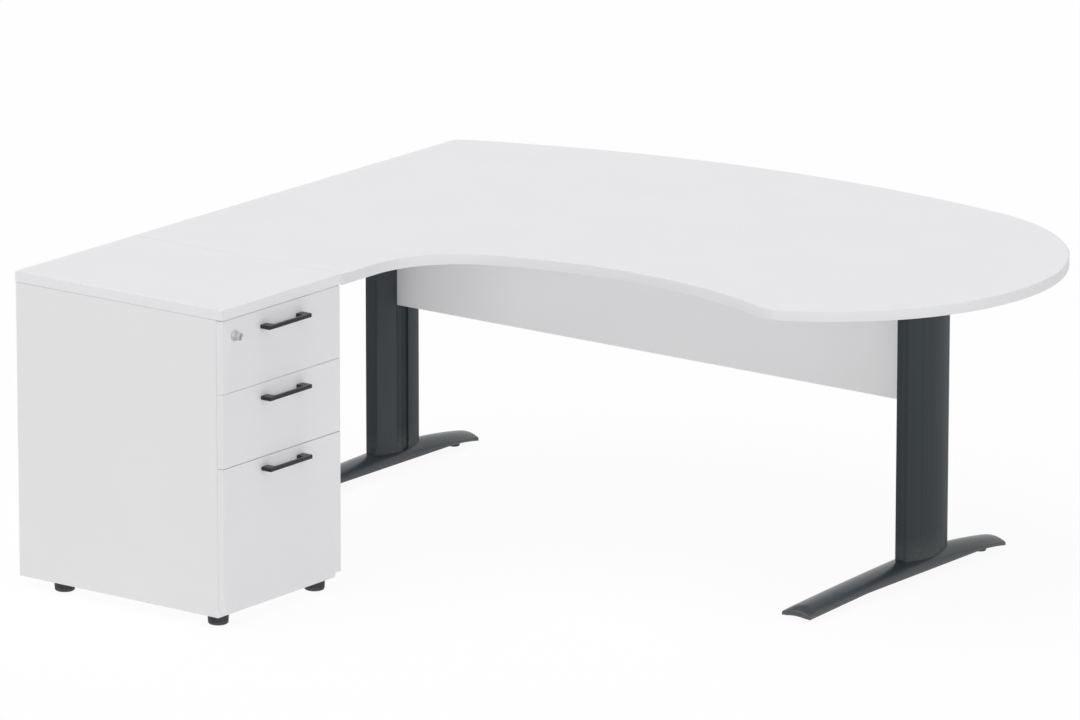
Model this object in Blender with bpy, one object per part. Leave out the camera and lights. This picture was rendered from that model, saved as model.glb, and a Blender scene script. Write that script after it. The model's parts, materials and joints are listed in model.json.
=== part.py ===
"""Office desk: a worktop with a round end on two column legs, its return tied to a drawer pedestal.
Metres, +Z up. +Y is the back, the round end is at +X, and the drawers open towards +X."""
import math

import bmesh
import bpy
from mathutils import Matrix, Vector

# Fits shared by every piece
seat_gap = 0.0003
overrun = 0.010
curve_flatness = 0.0004
merge_distance = 0.000002
round_steps = 20

# Worktop, in plan from its left edge and its back left corner
top_height = 0.730
top_thickness = 0.025
desk_width = 1.880
return_length = 1.610
back_bow = 0.209
return_depth = 0.600
back_radius = 2.4735
end_radius = 0.547
kneehole_radius = 1.030
kneehole_offset = 1.110
waist_depth = 0.996
fillet_radius = 0.229
edging_thickness = 0.002
top_edge_round = 0.0015

# Pedestal carcass, its top and its drawer fronts
board_thickness = 0.016
board_edge_round = 0.001
pedestal_width = 0.418
pedestal_top_depth = 0.593
top_overhang = 0.0017
carcass_inset = 0.001
carcass_low = 0.025
base_thickness = 0.016
base_reveal = 0.002
rail_depth = 0.060
front_thickness = 0.0165
front_gap = 0.002
front_side_reveal = 0.0005
front_height_shares = {"top": 0.250, "middle": 0.253}

# Pedestal glides
pedestal_glide_radius = 0.024
pedestal_glide_taper = 0.001
pedestal_glide_round = 0.005
pedestal_stem_radius = 0.005
pedestal_stem_height = 0.013
pedestal_glide_inset = 0.0375
front_glide_setback = 0.0305
rear_glide_setback = 0.1005

# Drawer boxes and runners
box_sheet = 0.0012
box_rim = 0.008
box_rear_clearance = 0.0735
box_rise = 0.013
box_head_room = 0.062
runner_depth = 0.0127
runner_sheet = 0.0012
runner_side_clearance = 0.0015
runner_rear_clearance = 0.0535
runner_setback = 0.040
drawer_member_setback = 0.012
small_runner_height = 0.035
small_runner_rise = 0.022
filing_runner_height = 0.045
filing_runner_rise = 0.060

# Handles
handle_length = 0.150
handle_projection = 0.028
handle_foot_width = 0.024
handle_bar_depth = 0.008
handle_height = 0.0085
handle_drops = {"top": 0.0365, "middle": 0.032, "filing": 0.025}
handle_inner_round = 0.005
handle_outer_round = 0.003
handle_edge_round = 0.0008

# Lock: the housing and barrel in the top drawer front, and the cam behind it
lock_inset = 0.044
lock_drop = 0.0388
lock_projection = 0.018
lock_sleeve_radius = 0.009
lock_flange_radius = 0.012
lock_flange_thickness = 0.002
lock_tail = 0.013
barrel_radius = 0.0067
barrel_recess = 0.0006
key_slot_width = 0.002
key_slot_height = 0.009
key_slot_depth = 0.006
cam_radius = 0.012
cam_thickness = 0.0025
cam_eye_radius = 0.006
cam_tip_radius = 0.0035
cam_pin_radius = 0.002
cam_pin_overhang = 0.0008
cam_rest_angle = math.radians(45)

# Locking bar on the near side, the studs that it catches and its guides
bar_thickness = 0.0025
bar_width = 0.008
bar_front_clearance = 0.004
hook_reach = 0.0165
hook_wall = 0.004
hook_clearance = 0.002
stud_radius = 0.0025
stud_drop = 0.016
tab_thickness = 0.0025
tab_wall = 0.003
slot_clearance = 0.0008
guide_height = 0.014
guide_sheet = 0.0012
guide_wing = 0.008
guide_drop = 0.0745

# Feet, in plan from the worktop's corners and along Y from their front tips
left_leg_inset = 0.041
right_leg_inset = 0.326
foot_front_reach = 0.785
foot_length = 0.770
foot_width = 0.078
foot_wall = 0.0045
foot_low_tip = 0.008
foot_low_hub = 0.019
foot_low_start_share = 0.29
foot_low_end_share = 0.845
foot_edge_tip = 0.0162
foot_edge_hub = 0.038
foot_edge_peak_share = 0.632
foot_edge_front_power = 1.3
foot_edge_rear_power = 1.45
foot_crown_front_tip = 0.0302
foot_crown_front = 0.0479
foot_crown_bow = 0.0012
foot_crown_rear = 0.0498
foot_crown_rear_tip = 0.0278
foot_crown_rear_power = 1.5
foot_nose_length = 0.030
foot_nose_drops = {"front": 0.0085, "rear": 0.001}
foot_toe_drop = 0.006
foot_toe_lip = 0.0008
foot_nose_steps = 4
foot_station_count = 18
foot_arch_steps = 8

# Glides under the feet
glide_insets = {"front": 0.050, "rear": 0.0465}
glide_radius = 0.014
glide_head_height = 0.0125
glide_round = 0.003
glide_stem_radius = 0.004
glide_stem_height = 0.013
glide_boss_radius = 0.008
glide_hole_spare = 0.0015

# Columns, their cable covers, the strips in their channels and the plugs that hold them to the feet
column_setback = 0.405
column_depth = 0.164
column_half_thickness = 0.015
column_bulge = 0.015
column_wall = 0.0025
column_corner_round = 0.0008
bulge_steps = 10
cover_width = 0.0587
cover_margin = 0.0028
cover_thickness = 0.002
cover_lip = 0.006
clip_thickness = 0.0015
clip_depth = 0.009
clip_barb = 0.0008
fin_thickness = 0.0015
channel_depth = 0.012
channel_play = 0.0005
groove_width = 0.0222
groove_depth = 0.0065
strip_sheet = 0.0015
strip_drop = 0.0015
plug_height = 0.020
plug_width = 0.018
plug_length = 0.070

# Steel arms under the worktop
arm_setback = 0.185
arm_length = 0.560
arm_height = 0.025
arm_width = 0.060
arm_lip = 0.011
arm_sheet = 0.003
arm_tip_height = 0.010
arm_taper_length = 0.070

# Modesty panel, and the steel angle between return and pedestal
panel_thickness = 0.018
panel_height = 0.304
notch_clearance = 0.002
angle_sheet = 0.003
angle_leg = 0.040
angle_length = 0.280
angle_place_share = 0.25

# Finishes: sRGB colour, roughness, metallic
finishes = {
    "worktop_white": ((233, 233, 235), 0.45, 0),
    "panel_white": ((222, 222, 224), 0.5, 0),
    "front_white": ((214, 214, 216), 0.5, 0),
    "cast_grey": ((77, 82, 85), 0.35, 0.6),
    "column_grey": ((60, 64, 67), 0.4, 0.6),
    "cover_grey": ((62, 66, 69), 0.5, 0),
    "handle_charcoal": ((44, 46, 48), 0.35, 0),
    "glide_grey": ((62, 63, 65), 0.6, 0),
    "lock_metal": ((182, 182, 182), 0.3, 1),
    "zinc_steel": ((190, 192, 195), 0.35, 1),
    "black_steel": ((40, 42, 44), 0.45, 0.5),
}

# Levels and lines worked out from the sizes above
left = -desk_width / 2
right = desk_width / 2
near = -(return_length + back_bow) / 2
back_corner = near + return_length
back_apex = back_corner + back_bow
under_top = top_height - top_thickness
board_high = under_top - seat_gap
pedestal_far = near + pedestal_width
return_end = pedestal_far + seat_gap
carcass_back = left + carcass_inset
carcass_front = left + pedestal_top_depth - top_overhang - front_thickness - seat_gap
carcass_depth = carcass_front - carcass_back
front_rear = carcass_front + seat_gap
front_face = front_rear + front_thickness
side_inner = {"near": near + board_thickness, "far": pedestal_far - board_thickness}
inward = {"near": 1, "far": -1}
box_offset = runner_depth + 2 * seat_gap
box_depth = carcass_depth - box_rear_clearance
runner_length = carcass_depth - runner_setback - runner_rear_clearance
drawer_middle = near + pedestal_width / 2
foot_front = back_corner - foot_front_reach
column_front = foot_front + column_setback
column_middle = column_front + column_depth / 2
cover_start = cover_margin - column_depth / 2
cover_end = cover_start + cover_width
channel_start = cover_end + fin_thickness
channel_end = channel_start + panel_thickness + 2 * channel_play
groove_start = channel_end + fin_thickness
groove_end = groove_start + groove_width
panel_front = column_middle + channel_start + channel_play
panel_rear = panel_front + panel_thickness
panel_low = board_high - panel_height
arm_low = board_high - arm_height
column_high = arm_low - seat_gap
leg_line = {"left": left + left_leg_inset, "right": right - right_leg_inset}
outward = {"left": -1, "right": 1}
lock_axis = Vector((0, near + lock_inset, under_top - front_gap - lock_drop))
lock_rear = front_rear - lock_tail
pin_drop = cam_radius * math.sin(cam_rest_angle)
lock_lift = 2 * pin_drop
bar_front = carcass_front - bar_front_clearance - hook_reach


def drawer_levels():
    """Each drawer's front from its lower to its upper edge."""
    high = under_top - front_gap
    lowest = carcass_low + base_thickness + base_reveal
    zone = high - lowest
    levels = {}
    for drawer, share in front_height_shares.items():
        low = high - share * zone
        levels[drawer] = (low, high)
        high = low - front_gap
    return {**levels, "filing": (lowest, high)}


def box_levels(drawer):
    """The lower and the upper edge of a drawer's box."""
    low, high = drawers[drawer]
    return low + box_rise, high - box_head_room


def stud_level(drawer):
    return box_levels(drawer)[1] - stud_drop


drawers = drawer_levels()


# Outlines

def angle_at(centre, point):
    return math.atan2(point[1] - centre[1], point[0] - centre[0])


def arc(centre, radius, start, end, steps=0):
    """Points on an arc, ends included, as close together as its radius needs."""
    chord = 2 * math.acos(max(0, 1 - curve_flatness / radius))
    steps = steps or max(2, math.ceil(abs(end - start) / chord))
    angles = [start + (end - start) * step / steps for step in range(steps + 1)]
    return [(centre[0] + radius * math.cos(a), centre[1] + radius * math.sin(a)) for a in angles]


def rounded(corners):
    """An outline whose corners, each a place and a radius, are turned into arcs."""
    outline = []
    for index, (x, y, radius) in enumerate(corners):
        here = Vector((x, y))
        before = (Vector(corners[index - 1][:2]) - here).normalized()
        after = (Vector(corners[(index + 1) % len(corners)][:2]) - here).normalized()
        if not radius:
            outline.append((x, y))
            continue
        half = before.angle(after) / 2
        centre = here + (before + after).normalized() * radius / math.sin(half)
        start = angle_at(centre, here + before * radius / math.tan(half))
        end = angle_at(centre, here + after * radius / math.tan(half))
        turn = (end - start + math.pi) % (2 * math.pi) - math.pi
        outline += arc(centre, radius, start, start + turn, 3)
    return outline


def link(first, first_radius, second, second_radius):
    """Two circles wrapped by one outline."""
    lean = angle_at(first, second)
    spread = math.acos((first_radius - second_radius) / math.dist(first, second))
    around_first = arc(first, first_radius, lean + spread, lean + 2 * math.pi - spread)
    return around_first + arc(second, second_radius, lean - spread, lean + spread)


def channel(base, reach, middle, height, sheet):
    """A C section in Y and Z: its web stands at base and its flanges reach to one side."""
    side = math.copysign(sheet, reach)
    low, high = middle - height / 2, middle + height / 2
    return [
        (base, low), (base + reach, low), (base + reach, low + sheet), (base + side, low + sheet),
        (base + side, high - sheet), (base + reach, high - sheet), (base + reach, high), (base, high),
    ]


def worktop_circles():
    """Centres of the back, end, kneehole and fillet arcs, each tangent to the next."""
    back_y = back_apex - back_radius
    back = Vector((left + math.sqrt(back_radius**2 - (back_corner - back_y)**2), back_y))
    end_x = right - end_radius
    end = Vector((end_x, back_y + math.sqrt((back_radius - end_radius)**2 - (end_x - back.x)**2)))
    kneehole = Vector((left + kneehole_offset, back_apex - waist_depth - kneehole_radius))
    fillet_x = left + return_depth + fillet_radius
    rise = math.sqrt((kneehole_radius - fillet_radius)**2 - (kneehole.x - fillet_x)**2)
    return back, end, kneehole, Vector((fillet_x, kneehole.y + rise))


def blunt_corner(end, end_round, kneehole, kneehole_round):
    """Where the round end meets the kneehole curve, on the side away from the return."""
    apart = (kneehole - end).length
    along = (end_round**2 - kneehole_round**2 + apart**2) / (2 * apart)
    aside = math.sqrt(max(0, end_round**2 - along**2))
    direction = (kneehole - end) / apart
    return end + direction * along + Vector((-direction.y, direction.x)) * aside


def worktop_outline(inset):
    """The crescent, moved in by inset on every side."""
    back, end, kneehole, fillet = worktop_circles()
    back_round, end_round = back_radius - inset, end_radius - inset
    kneehole_round, fillet_round = kneehole_radius + inset, fillet_radius + inset
    start = (left + inset, back.y + math.sqrt(back_round**2 - (left + inset - back.x)**2))
    corner = blunt_corner(end, end_round, kneehole, kneehole_round)
    tangent = angle_at(back, end)
    turn = angle_at(kneehole, fillet)
    outline = arc(back, back_round, angle_at(back, start), tangent)
    outline += arc(end, end_round, tangent, angle_at(end, corner))[1:]
    outline += arc(kneehole, kneehole_round, angle_at(kneehole, corner), turn)[1:]
    outline += arc(fillet, fillet_round, turn, math.pi)[1:]
    outline += [(left + return_depth - inset, return_end + inset), (left + inset, return_end + inset)]
    return outline


# Shapes and objects

def placed(axis, u, v, w):
    return {"X": (w, u, v), "Y": (u, w, v), "Z": (u, v, w)}[axis]


def prism(outline, low, high, axis="Z"):
    """A closed outline extruded along one axis between two levels."""
    shape = bmesh.new()
    face = shape.faces.new([shape.verts.new(placed(axis, u, v, low)) for u, v in outline])
    raised = bmesh.ops.extrude_face_region(shape, geom=[face])["geom"]
    moved = [element for element in raised if isinstance(element, bmesh.types.BMVert)]
    bmesh.ops.translate(shape, verts=moved, vec=placed(axis, 0, 0, high - low))
    bmesh.ops.recalc_face_normals(shape, faces=shape.faces)
    return shape


def block(x_span, y_span, z_span):
    (x0, x1), (y0, y1) = x_span, y_span
    return prism([(x0, y0), (x1, y0), (x1, y1), (x0, y1)], *z_span)


def turned(profile, centre, axis="Z", closed=False):
    """A profile of radii and heights spun about an axis through centre."""
    shape = bmesh.new()
    along, side = Vector(placed(axis, 0, 0, 1)), Vector(placed(axis, 1, 0, 0))
    verts = [shape.verts.new(Vector(centre) + side * radius + along * level) for radius, level in profile]
    pairs = list(zip(verts, verts[1:])) + ([(verts[-1], verts[0])] if closed else [])
    edges = [shape.edges.new(pair) for pair in pairs]
    spun = {"cent": centre, "axis": along, "angle": 2 * math.pi, "steps": round_steps}
    bmesh.ops.spin(shape, geom=verts + edges, use_merge=True, **spun)
    bmesh.ops.remove_doubles(shape, verts=shape.verts, dist=merge_distance)
    bmesh.ops.recalc_face_normals(shape, faces=shape.faces)
    return shape


def rod(centre, radius, low, high, axis="Z"):
    return turned([(0, low), (radius, low), (radius, high), (0, high)], centre, axis)


def linear(value):
    """One sRGB channel of 0 to 255 as linear light."""
    share = value / 255
    return share / 12.92 if share <= 0.04045 else ((share + 0.055) / 1.055) ** 2.4


def coated(piece, finish):
    colour, roughness, metallic = finishes[finish]
    material = bpy.data.materials.new(f"{piece.name}_{finish}")
    material.use_nodes = True
    surface = material.node_tree.nodes["Principled BSDF"]
    surface.inputs["Base Color"].default_value = (*map(linear, colour), 1)
    surface.inputs["Roughness"].default_value = roughness
    surface.inputs["Metallic"].default_value = metallic
    material.diffuse_color = (*map(linear, colour), 1)
    piece.data.materials.append(material)


def carried(thing, carrier):
    if carrier:
        thing.parent = carrier
        thing.matrix_parent_inverse = Matrix.Translation(-carrier.location)
    return thing


def carrier_at(name, place, parent=None):
    """An empty on a joint's axis that carries the pieces of one moving body."""
    empty = bpy.data.objects.new(name, None)
    empty.location = place
    bpy.context.scene.collection.objects.link(empty)
    return carried(empty, parent)


def solid(name, shape, carrier=None):
    """An object with its origin under the middle of the shape."""
    xs, ys, zs = zip(*(vert.co for vert in shape.verts))
    origin = Vector(((min(xs) + max(xs)) / 2, (min(ys) + max(ys)) / 2, min(zs)))
    bmesh.ops.translate(shape, verts=shape.verts, vec=-origin)
    mesh = bpy.data.meshes.new(name)
    shape.to_mesh(mesh)
    shape.free()
    thing = bpy.data.objects.new(name, mesh)
    thing.location = origin
    bpy.context.scene.collection.objects.link(thing)
    return carried(thing, carrier)


def piece_of(name, shape, finish, carrier=None, smooth=False):
    piece = solid(name, shape, carrier)
    coated(piece, finish)
    if smooth:
        piece.data.shade_smooth()
        piece.data.set_sharp_from_angle(angle=math.radians(30))
    return piece


def combined(piece, shape, operation):
    """A Boolean with a helper object that isn't part of the desk."""
    helper = solid(f"{piece.name}_{operation.lower()}_{len(piece.modifiers)}", shape, piece.parent)
    helper.hide_render = True
    helper.display_type = "WIRE"
    boolean = piece.modifiers.new(helper.name, "BOOLEAN")
    boolean.operation = operation
    boolean.object = helper
    return piece


def cut(piece, shape):
    return combined(piece, shape, "DIFFERENCE")


def joined(piece, shape):
    return combined(piece, shape, "UNION")


def softened(piece, width, segments=2):
    bevel = piece.modifiers.new("edge_round", "BEVEL")
    bevel.limit_method = "ANGLE"
    bevel.angle_limit = math.radians(40)
    bevel.width = width
    bevel.segments = segments
    return piece


def board(name, x_span, y_span, z_span, finish="panel_white", carrier=None):
    return softened(piece_of(name, block(x_span, y_span, z_span), finish, carrier), board_edge_round)


# Worktop

def make_worktop():
    core = worktop_outline(edging_thickness + seat_gap)
    piece_of("desk_top", prism(core, under_top, top_height), "worktop_white")
    band = piece_of("desk_top_edging", prism(worktop_outline(0), under_top, top_height), "worktop_white")
    softened(band, top_edge_round)
    hollow = worktop_outline(edging_thickness)
    cut(band, prism(hollow, under_top - overrun, top_height + overrun))


# Legs

def nose_share(along):
    """How far a place is into the rounded nose at either tip: 1 at the tip, 0 where the nose ends."""
    return max(0, 1 - min(along, foot_length - along) / foot_nose_length)


def foot_crown(along):
    """The ridge of the foot: a bowed rise to the column, level under it, and a falling curve behind it."""
    column_rear = column_setback + column_depth
    if along < column_setback:
        share = along / column_setback
        ridge = foot_crown_front_tip + (foot_crown_front - foot_crown_front_tip) * share
        ridge += 4 * foot_crown_bow * share * (1 - share)
    elif along < column_rear:
        share = (along - column_setback) / column_depth
        ridge = foot_crown_front + (foot_crown_rear - foot_crown_front) * share
    else:
        share = (along - column_rear) / (foot_length - column_rear)
        ridge = foot_crown_rear - (foot_crown_rear - foot_crown_rear_tip) * share**foot_crown_rear_power
    drop = foot_nose_drops["front" if along < column_setback else "rear"]
    return ridge - drop * nose_share(along)**2


def foot_levels(along):
    """Lower edge, upper edge and crown of the foot at a distance from its front tip."""
    peak = foot_edge_peak_share * foot_length
    low_start, low_end = foot_low_start_share * foot_length, foot_low_end_share * foot_length
    if along < peak:
        edge_share = 1 - (1 - along / peak)**foot_edge_front_power
    else:
        edge_share = 1 - ((along - peak) / (foot_length - peak))**foot_edge_rear_power
    edge = foot_edge_tip + (foot_edge_hub - foot_edge_tip) * edge_share
    front_drop = max(0, low_start - along) / low_start
    rear_drop = (max(0, along - low_end) / (foot_length - low_end))**2
    low = foot_low_hub - (foot_low_hub - foot_low_tip) * max(front_drop, rear_drop)
    return low, edge, foot_crown(along)


def foot_stations():
    """Distances from the front tip, closest together where the edges bend most."""
    marks = [column_setback, column_setback + column_depth, foot_edge_peak_share * foot_length]
    marks += [foot_low_start_share * foot_length, foot_low_end_share * foot_length]
    marks += [foot_length * station / foot_station_count for station in range(foot_station_count + 1)]
    for step in range(1, foot_nose_steps + 1):
        inside = foot_nose_length * step / foot_nose_steps
        marks += [inside, foot_length - inside]
    return sorted(set(marks))


def arched(half_width, edge, crown, drop=0):
    """An arch across the foot, from its left to its right edge."""
    shares = [2 * step / foot_arch_steps - 1 for step in range(foot_arch_steps + 1)]
    reach = foot_width / 2
    rise = crown - edge
    return [(half_width * s, edge + rise * (1 - (half_width * s / reach)**2) - drop) for s in shares]


def lofted(sections):
    """A skin over closed sections, each a list of points, capped at both ends."""
    shape = bmesh.new()
    rings = [[shape.verts.new(point) for point in section] for section in sections]
    for first, second in zip(rings, rings[1:]):
        for index in range(len(first)):
            after = (index + 1) % len(first)
            shape.faces.new((first[index], first[after], second[after], second[index]))
    shape.faces.new(rings[0])
    shape.faces.new(rings[-1])
    bmesh.ops.recalc_face_normals(shape, faces=shape.faces)
    bmesh.ops.triangulate(shape, faces=shape.faces)
    return shape


def foot_shell(centre):
    """The cast foot: an arched roof and two side walls, open below, with a thicker roof at both tips."""
    sections = []
    half = foot_width / 2
    for along in foot_stations():
        low, edge, crown = foot_levels(along)
        outer = [(-half, low), *arched(half, edge, crown), (half, low)]
        drop = foot_wall + foot_toe_drop * nose_share(along)
        roof = arched(half - foot_wall, edge, crown, drop)[::-1]
        inner = [(x, max(z, low + foot_toe_lip)) for x, z in roof]
        inner = [(half - foot_wall, low), *inner, (foot_wall - half, low)]
        sections.append([(centre + x, foot_front + along, z) for x, z in outer + inner])
    return lofted(sections)


def foot_saddle(centre):
    """The space under a column: the foot's arch and all below it, with the seat gap."""
    sections = []
    for along in foot_stations():
        low, edge, crown = foot_levels(along)
        arch = arched(foot_width / 2, edge + seat_gap, crown + seat_gap)
        ring = [(-foot_width / 2, -overrun), *arch, (foot_width / 2, -overrun)]
        sections.append([(centre + x, foot_front + along, z) for x, z in ring])
    return lofted(sections)


def make_foot(side):
    centre = leg_line[side]
    foot = piece_of(f"{side}_foot", foot_shell(centre), "cast_grey", smooth=True)
    glide_lines = {"front": glide_insets["front"], "rear": foot_length - glide_insets["rear"]}
    for end, along in glide_lines.items():
        roof = foot_levels(along)[2] - foot_wall / 2
        place = Vector((centre, foot_front + along, 0))
        low, bore = glide_head_height + seat_gap, glide_stem_radius + seat_gap
        bore_high = glide_head_height + glide_stem_height + glide_hole_spare
        joined(foot, turned([(0, bore_high), (bore, bore_high), (bore, low), (glide_boss_radius, low),
                             (glide_boss_radius, roof), (0, roof)], place))
        make_glide(f"{side}_foot_{end}_glide", place, glide_radius, 0, glide_round, glide_head_height,
                   glide_stem_radius, glide_stem_height)
    plug_low = foot_crown_front - foot_wall / 2
    joined(foot, block(
        (centre - plug_width / 2, centre + plug_width / 2),
        (column_middle - plug_length / 2, column_middle + plug_length / 2),
        (plug_low, plug_low + plug_height),
    ))


def make_glide(name, place, radius, taper, rounding, head, stem_radius, stem_height):
    """A levelling glide, which turns on its stem."""
    flat = radius - taper - rounding
    profile = [(0, 0), *arc((flat, rounding), rounding, -math.pi / 2, 0, 3), (radius, head)]
    profile += [(stem_radius, head), (stem_radius, head + stem_height), (0, head + stem_height)]
    turner = carrier_at(f"{name}_turn", place)
    piece_of(name, turned(profile, place), "glide_grey", turner, smooth=True)


def half_thickness(v):
    """Half of the column's thickness at a distance from its middle: both sides bow out alike."""
    return column_half_thickness + column_bulge * (1 - (2 * v / column_depth)**2)


def bowed(start, end, depth=0, steps=bulge_steps):
    """Points along the column's inner side from one place to another, sunk into it by depth."""
    places = [start + (end - start) * step / steps for step in range(steps + 1)]
    return [(depth - half_thickness(v), v) for v in places]


def channel_floor():
    return channel_depth - half_thickness((channel_start + channel_end) / 2)


def column_outline():
    """The extrusion's C section: first value outwards, second along Y, both from its middle."""
    deep = column_depth / 2
    rebate = cover_thickness + seat_gap
    lip_back = rebate + column_wall
    front_lip, rear_lip = cover_start + cover_lip, cover_end - cover_lip
    floor, shallow = channel_floor(), groove_depth - half_thickness(groove_start)
    inside = deep - column_wall
    outline = bowed(front_lip, cover_start, rebate, 2) + bowed(cover_start, -deep, 0, 1)
    outline += [(-u, v) for u, v in bowed(-deep, deep)]
    outline += bowed(deep, groove_end)
    outline += [(shallow, groove_end), (shallow, groove_start)]
    outline += bowed(groove_start, channel_end, 0, 1)
    outline += [(floor, channel_end), (floor, channel_start)]
    outline += bowed(channel_start, cover_end, 0, 1)
    before_channel, after_channel = channel_start - column_wall, channel_end + column_wall
    after_groove = groove_end + column_wall
    outline += bowed(cover_end, rear_lip, rebate, 2) + bowed(rear_lip, before_channel, lip_back, 2)
    outline += [(floor + column_wall, before_channel), (floor + column_wall, after_channel)]
    outline += [(shallow + column_wall, after_channel), (shallow + column_wall, after_groove)]
    outline += bowed(after_groove, inside, column_wall)
    outline += [(-u, v) for u, v in bowed(inside, -inside, column_wall)]
    outline += bowed(-inside, front_lip, lip_back, 2)
    return rounded([(u, v, column_corner_round if abs(v) == deep else 0) for u, v in outline])


def on_leg(side, outline):
    """A section's points in plan, for the leg on one side."""
    return [(leg_line[side] + outward[side] * u, column_middle + v) for u, v in outline]


def seated_on_foot(name, side, outline, high, finish):
    """An upright section whose lower end follows the arch of the foot."""
    piece = piece_of(name, prism(on_leg(side, outline), foot_low_hub, high), finish, smooth=True)
    return cut(piece, foot_saddle(leg_line[side]))


def make_column(side):
    seated_on_foot(f"{side}_column", side, column_outline(), column_high, "column_grey")


def clip_outline(place, way):
    """A barbed clip behind one of the column's lips, from the cover's rear face round its tip."""
    face = -half_thickness(place)
    back, tip = face + cover_thickness, face + clip_depth
    barb = back + column_wall + 2 * seat_gap
    inner = place - way * clip_thickness
    return [(back, place), (barb, place), (barb, place + way * clip_barb), (tip, place),
            (tip, inner), (back, inner)]


def make_cable_cover(side):
    """A bowed strip in the column's rebate, held by two barbed clips behind its lips."""
    start, end = cover_start + seat_gap, cover_end - seat_gap
    rear_clip = clip_outline(cover_end - cover_lip - seat_gap, 1)
    front_clip = clip_outline(cover_start + cover_lip + seat_gap, -1)[::-1]
    outline = bowed(start, end) + bowed(end, rear_clip[0][1], cover_thickness, 1)[:-1] + rear_clip
    outline += bowed(rear_clip[-1][1], front_clip[0][1], cover_thickness)[1:-1] + front_clip
    outline += bowed(front_clip[-1][1], start, cover_thickness, 1)[1:]
    seated_on_foot(f"{side}_cable_cover", side, outline, column_high, "cover_grey")


def make_channel_strip(side):
    """The strip that fills the column's channel below the modesty panel."""
    face = -half_thickness(channel_start)
    middle = (channel_start + channel_end) / 2
    width = channel_end - channel_start - 2 * seat_gap
    outline = channel(face, channel_floor() - seat_gap - face, middle, width, strip_sheet)
    seated_on_foot(f"{side}_channel_strip", side, outline, panel_low - strip_drop, "column_grey")


def make_top_arm(side):
    """A hat channel with tapered ends, on the column and under the worktop."""
    centre = leg_line[side]
    outer, inner = arm_width / 2, arm_width / 2 - arm_lip
    web, lip = arm_low + arm_sheet, board_high - arm_sheet
    half = [(outer, board_high), (outer, lip), (inner, lip), (inner, arm_low)]
    return_half = [(inner - arm_sheet, web), (inner - arm_sheet, board_high)]
    outline = [(centre + x, z) for x, z in half]
    outline += [(centre - x, z) for x, z in reversed(half)]
    outline += [(centre - x, z) for x, z in reversed(return_half)]
    outline += [(centre + x, z) for x, z in return_half]
    start, end = foot_front + arm_setback, foot_front + arm_setback + arm_length
    arm = piece_of(f"{side}_top_arm", prism(outline, start, end, "Y"), "black_steel")
    tip_level = board_high - arm_tip_height
    for tip, inside in ((start, 1), (end, -1)):
        out, taper = tip - inside * overrun, tip + inside * arm_taper_length
        wedge = [(out, tip_level), (tip, tip_level), (taper, arm_low),
                 (taper, arm_low - overrun), (out, arm_low - overrun)]
        cut(arm, prism(wedge, centre - arm_width, centre + arm_width, "X"))


def make_modesty_panel():
    reach = {side: leg_line[side] + outward[side] * (channel_floor() - seat_gap) for side in leg_line}
    panel = board("modesty_panel", (reach["left"], reach["right"]), (panel_front, panel_rear),
                  (panel_low, board_high))
    for side, end in reach.items():
        notch_end = leg_line[side] - outward[side] * (arm_width / 2 + notch_clearance)
        x_span = sorted((end + outward[side] * overrun, notch_end))
        cut(panel, block(x_span, (panel_front - overrun, panel_rear + overrun),
                         (arm_low - notch_clearance, board_high + overrun)))


def make_return_angle():
    """A steel angle that ties the return's end to the pedestal's far side."""
    start = pedestal_far + seat_gap
    section = [(start, board_high - angle_leg), (start + angle_sheet, board_high - angle_leg),
               (start + angle_sheet, board_high - angle_sheet), (start + angle_leg, board_high - angle_sheet),
               (start + angle_leg, board_high), (start, board_high)]
    along = left + angle_place_share * pedestal_top_depth
    piece_of("return_angle", prism(section, along, along + angle_length, "X"), "zinc_steel")


# Pedestal

def make_carcass():
    y_inside = (side_inner["near"] + seat_gap, side_inner["far"] - seat_gap)
    z_span = (carcass_low, board_high)
    back_front = carcass_back + board_thickness
    top = board("pedestal_top", (left, left + pedestal_top_depth), (near, pedestal_far),
                (under_top, top_height), "worktop_white")
    top.modifiers["edge_round"].width = top_edge_round
    board("pedestal_near_side", (carcass_back, carcass_front), (near, side_inner["near"]), z_span)
    board("pedestal_far_side", (carcass_back, carcass_front), (side_inner["far"], pedestal_far), z_span)
    board("pedestal_back", (carcass_back, back_front), y_inside, z_span)
    board("pedestal_rail", (carcass_front - rail_depth, carcass_front), y_inside,
          (board_high - board_thickness, board_high))
    base = board("pedestal_base", (back_front + seat_gap, carcass_front), y_inside,
                 (carcass_low, carcass_low + base_thickness))
    lines = {"front": carcass_front - front_glide_setback, "rear": carcass_back + rear_glide_setback}
    rows = {"near": near + pedestal_glide_inset, "far": pedestal_far - pedestal_glide_inset}
    for end, x in lines.items():
        for row, y in rows.items():
            place = Vector((x, y, 0))
            hole_top = carcass_low + base_thickness + overrun
            cut(base, rod(place, pedestal_stem_radius + seat_gap, -overrun, hole_top))
            make_glide(f"pedestal_{end}_{row}_glide", place, pedestal_glide_radius,
                       pedestal_glide_taper, pedestal_glide_round, carcass_low - seat_gap,
                       pedestal_stem_radius, pedestal_stem_height)


def box_shell(x_span, y_span, z_span):
    """An open sheet box with a rim turned in round its mouth."""
    shape = block(x_span, y_span, z_span)
    mouth = max(shape.faces, key=lambda face: face.calc_center_median().z)
    bmesh.ops.inset_region(shape, faces=[mouth], thickness=box_rim, use_even_offset=True)
    bmesh.ops.delete(shape, geom=[mouth], context="FACES")
    return shape


def make_drawer_box(drawer, carrier):
    front = front_rear - seat_gap
    y_span = (side_inner["near"] + box_offset, side_inner["far"] - box_offset)
    shape = box_shell((front - box_depth, front), y_span, box_levels(drawer))
    box = piece_of(f"{drawer}_drawer_box", shape, "zinc_steel", carrier)
    sheet = box.modifiers.new("sheet", "SOLIDIFY")
    sheet.thickness = box_sheet
    sheet.offset = -1
    sheet.use_even_offset = True


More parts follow.
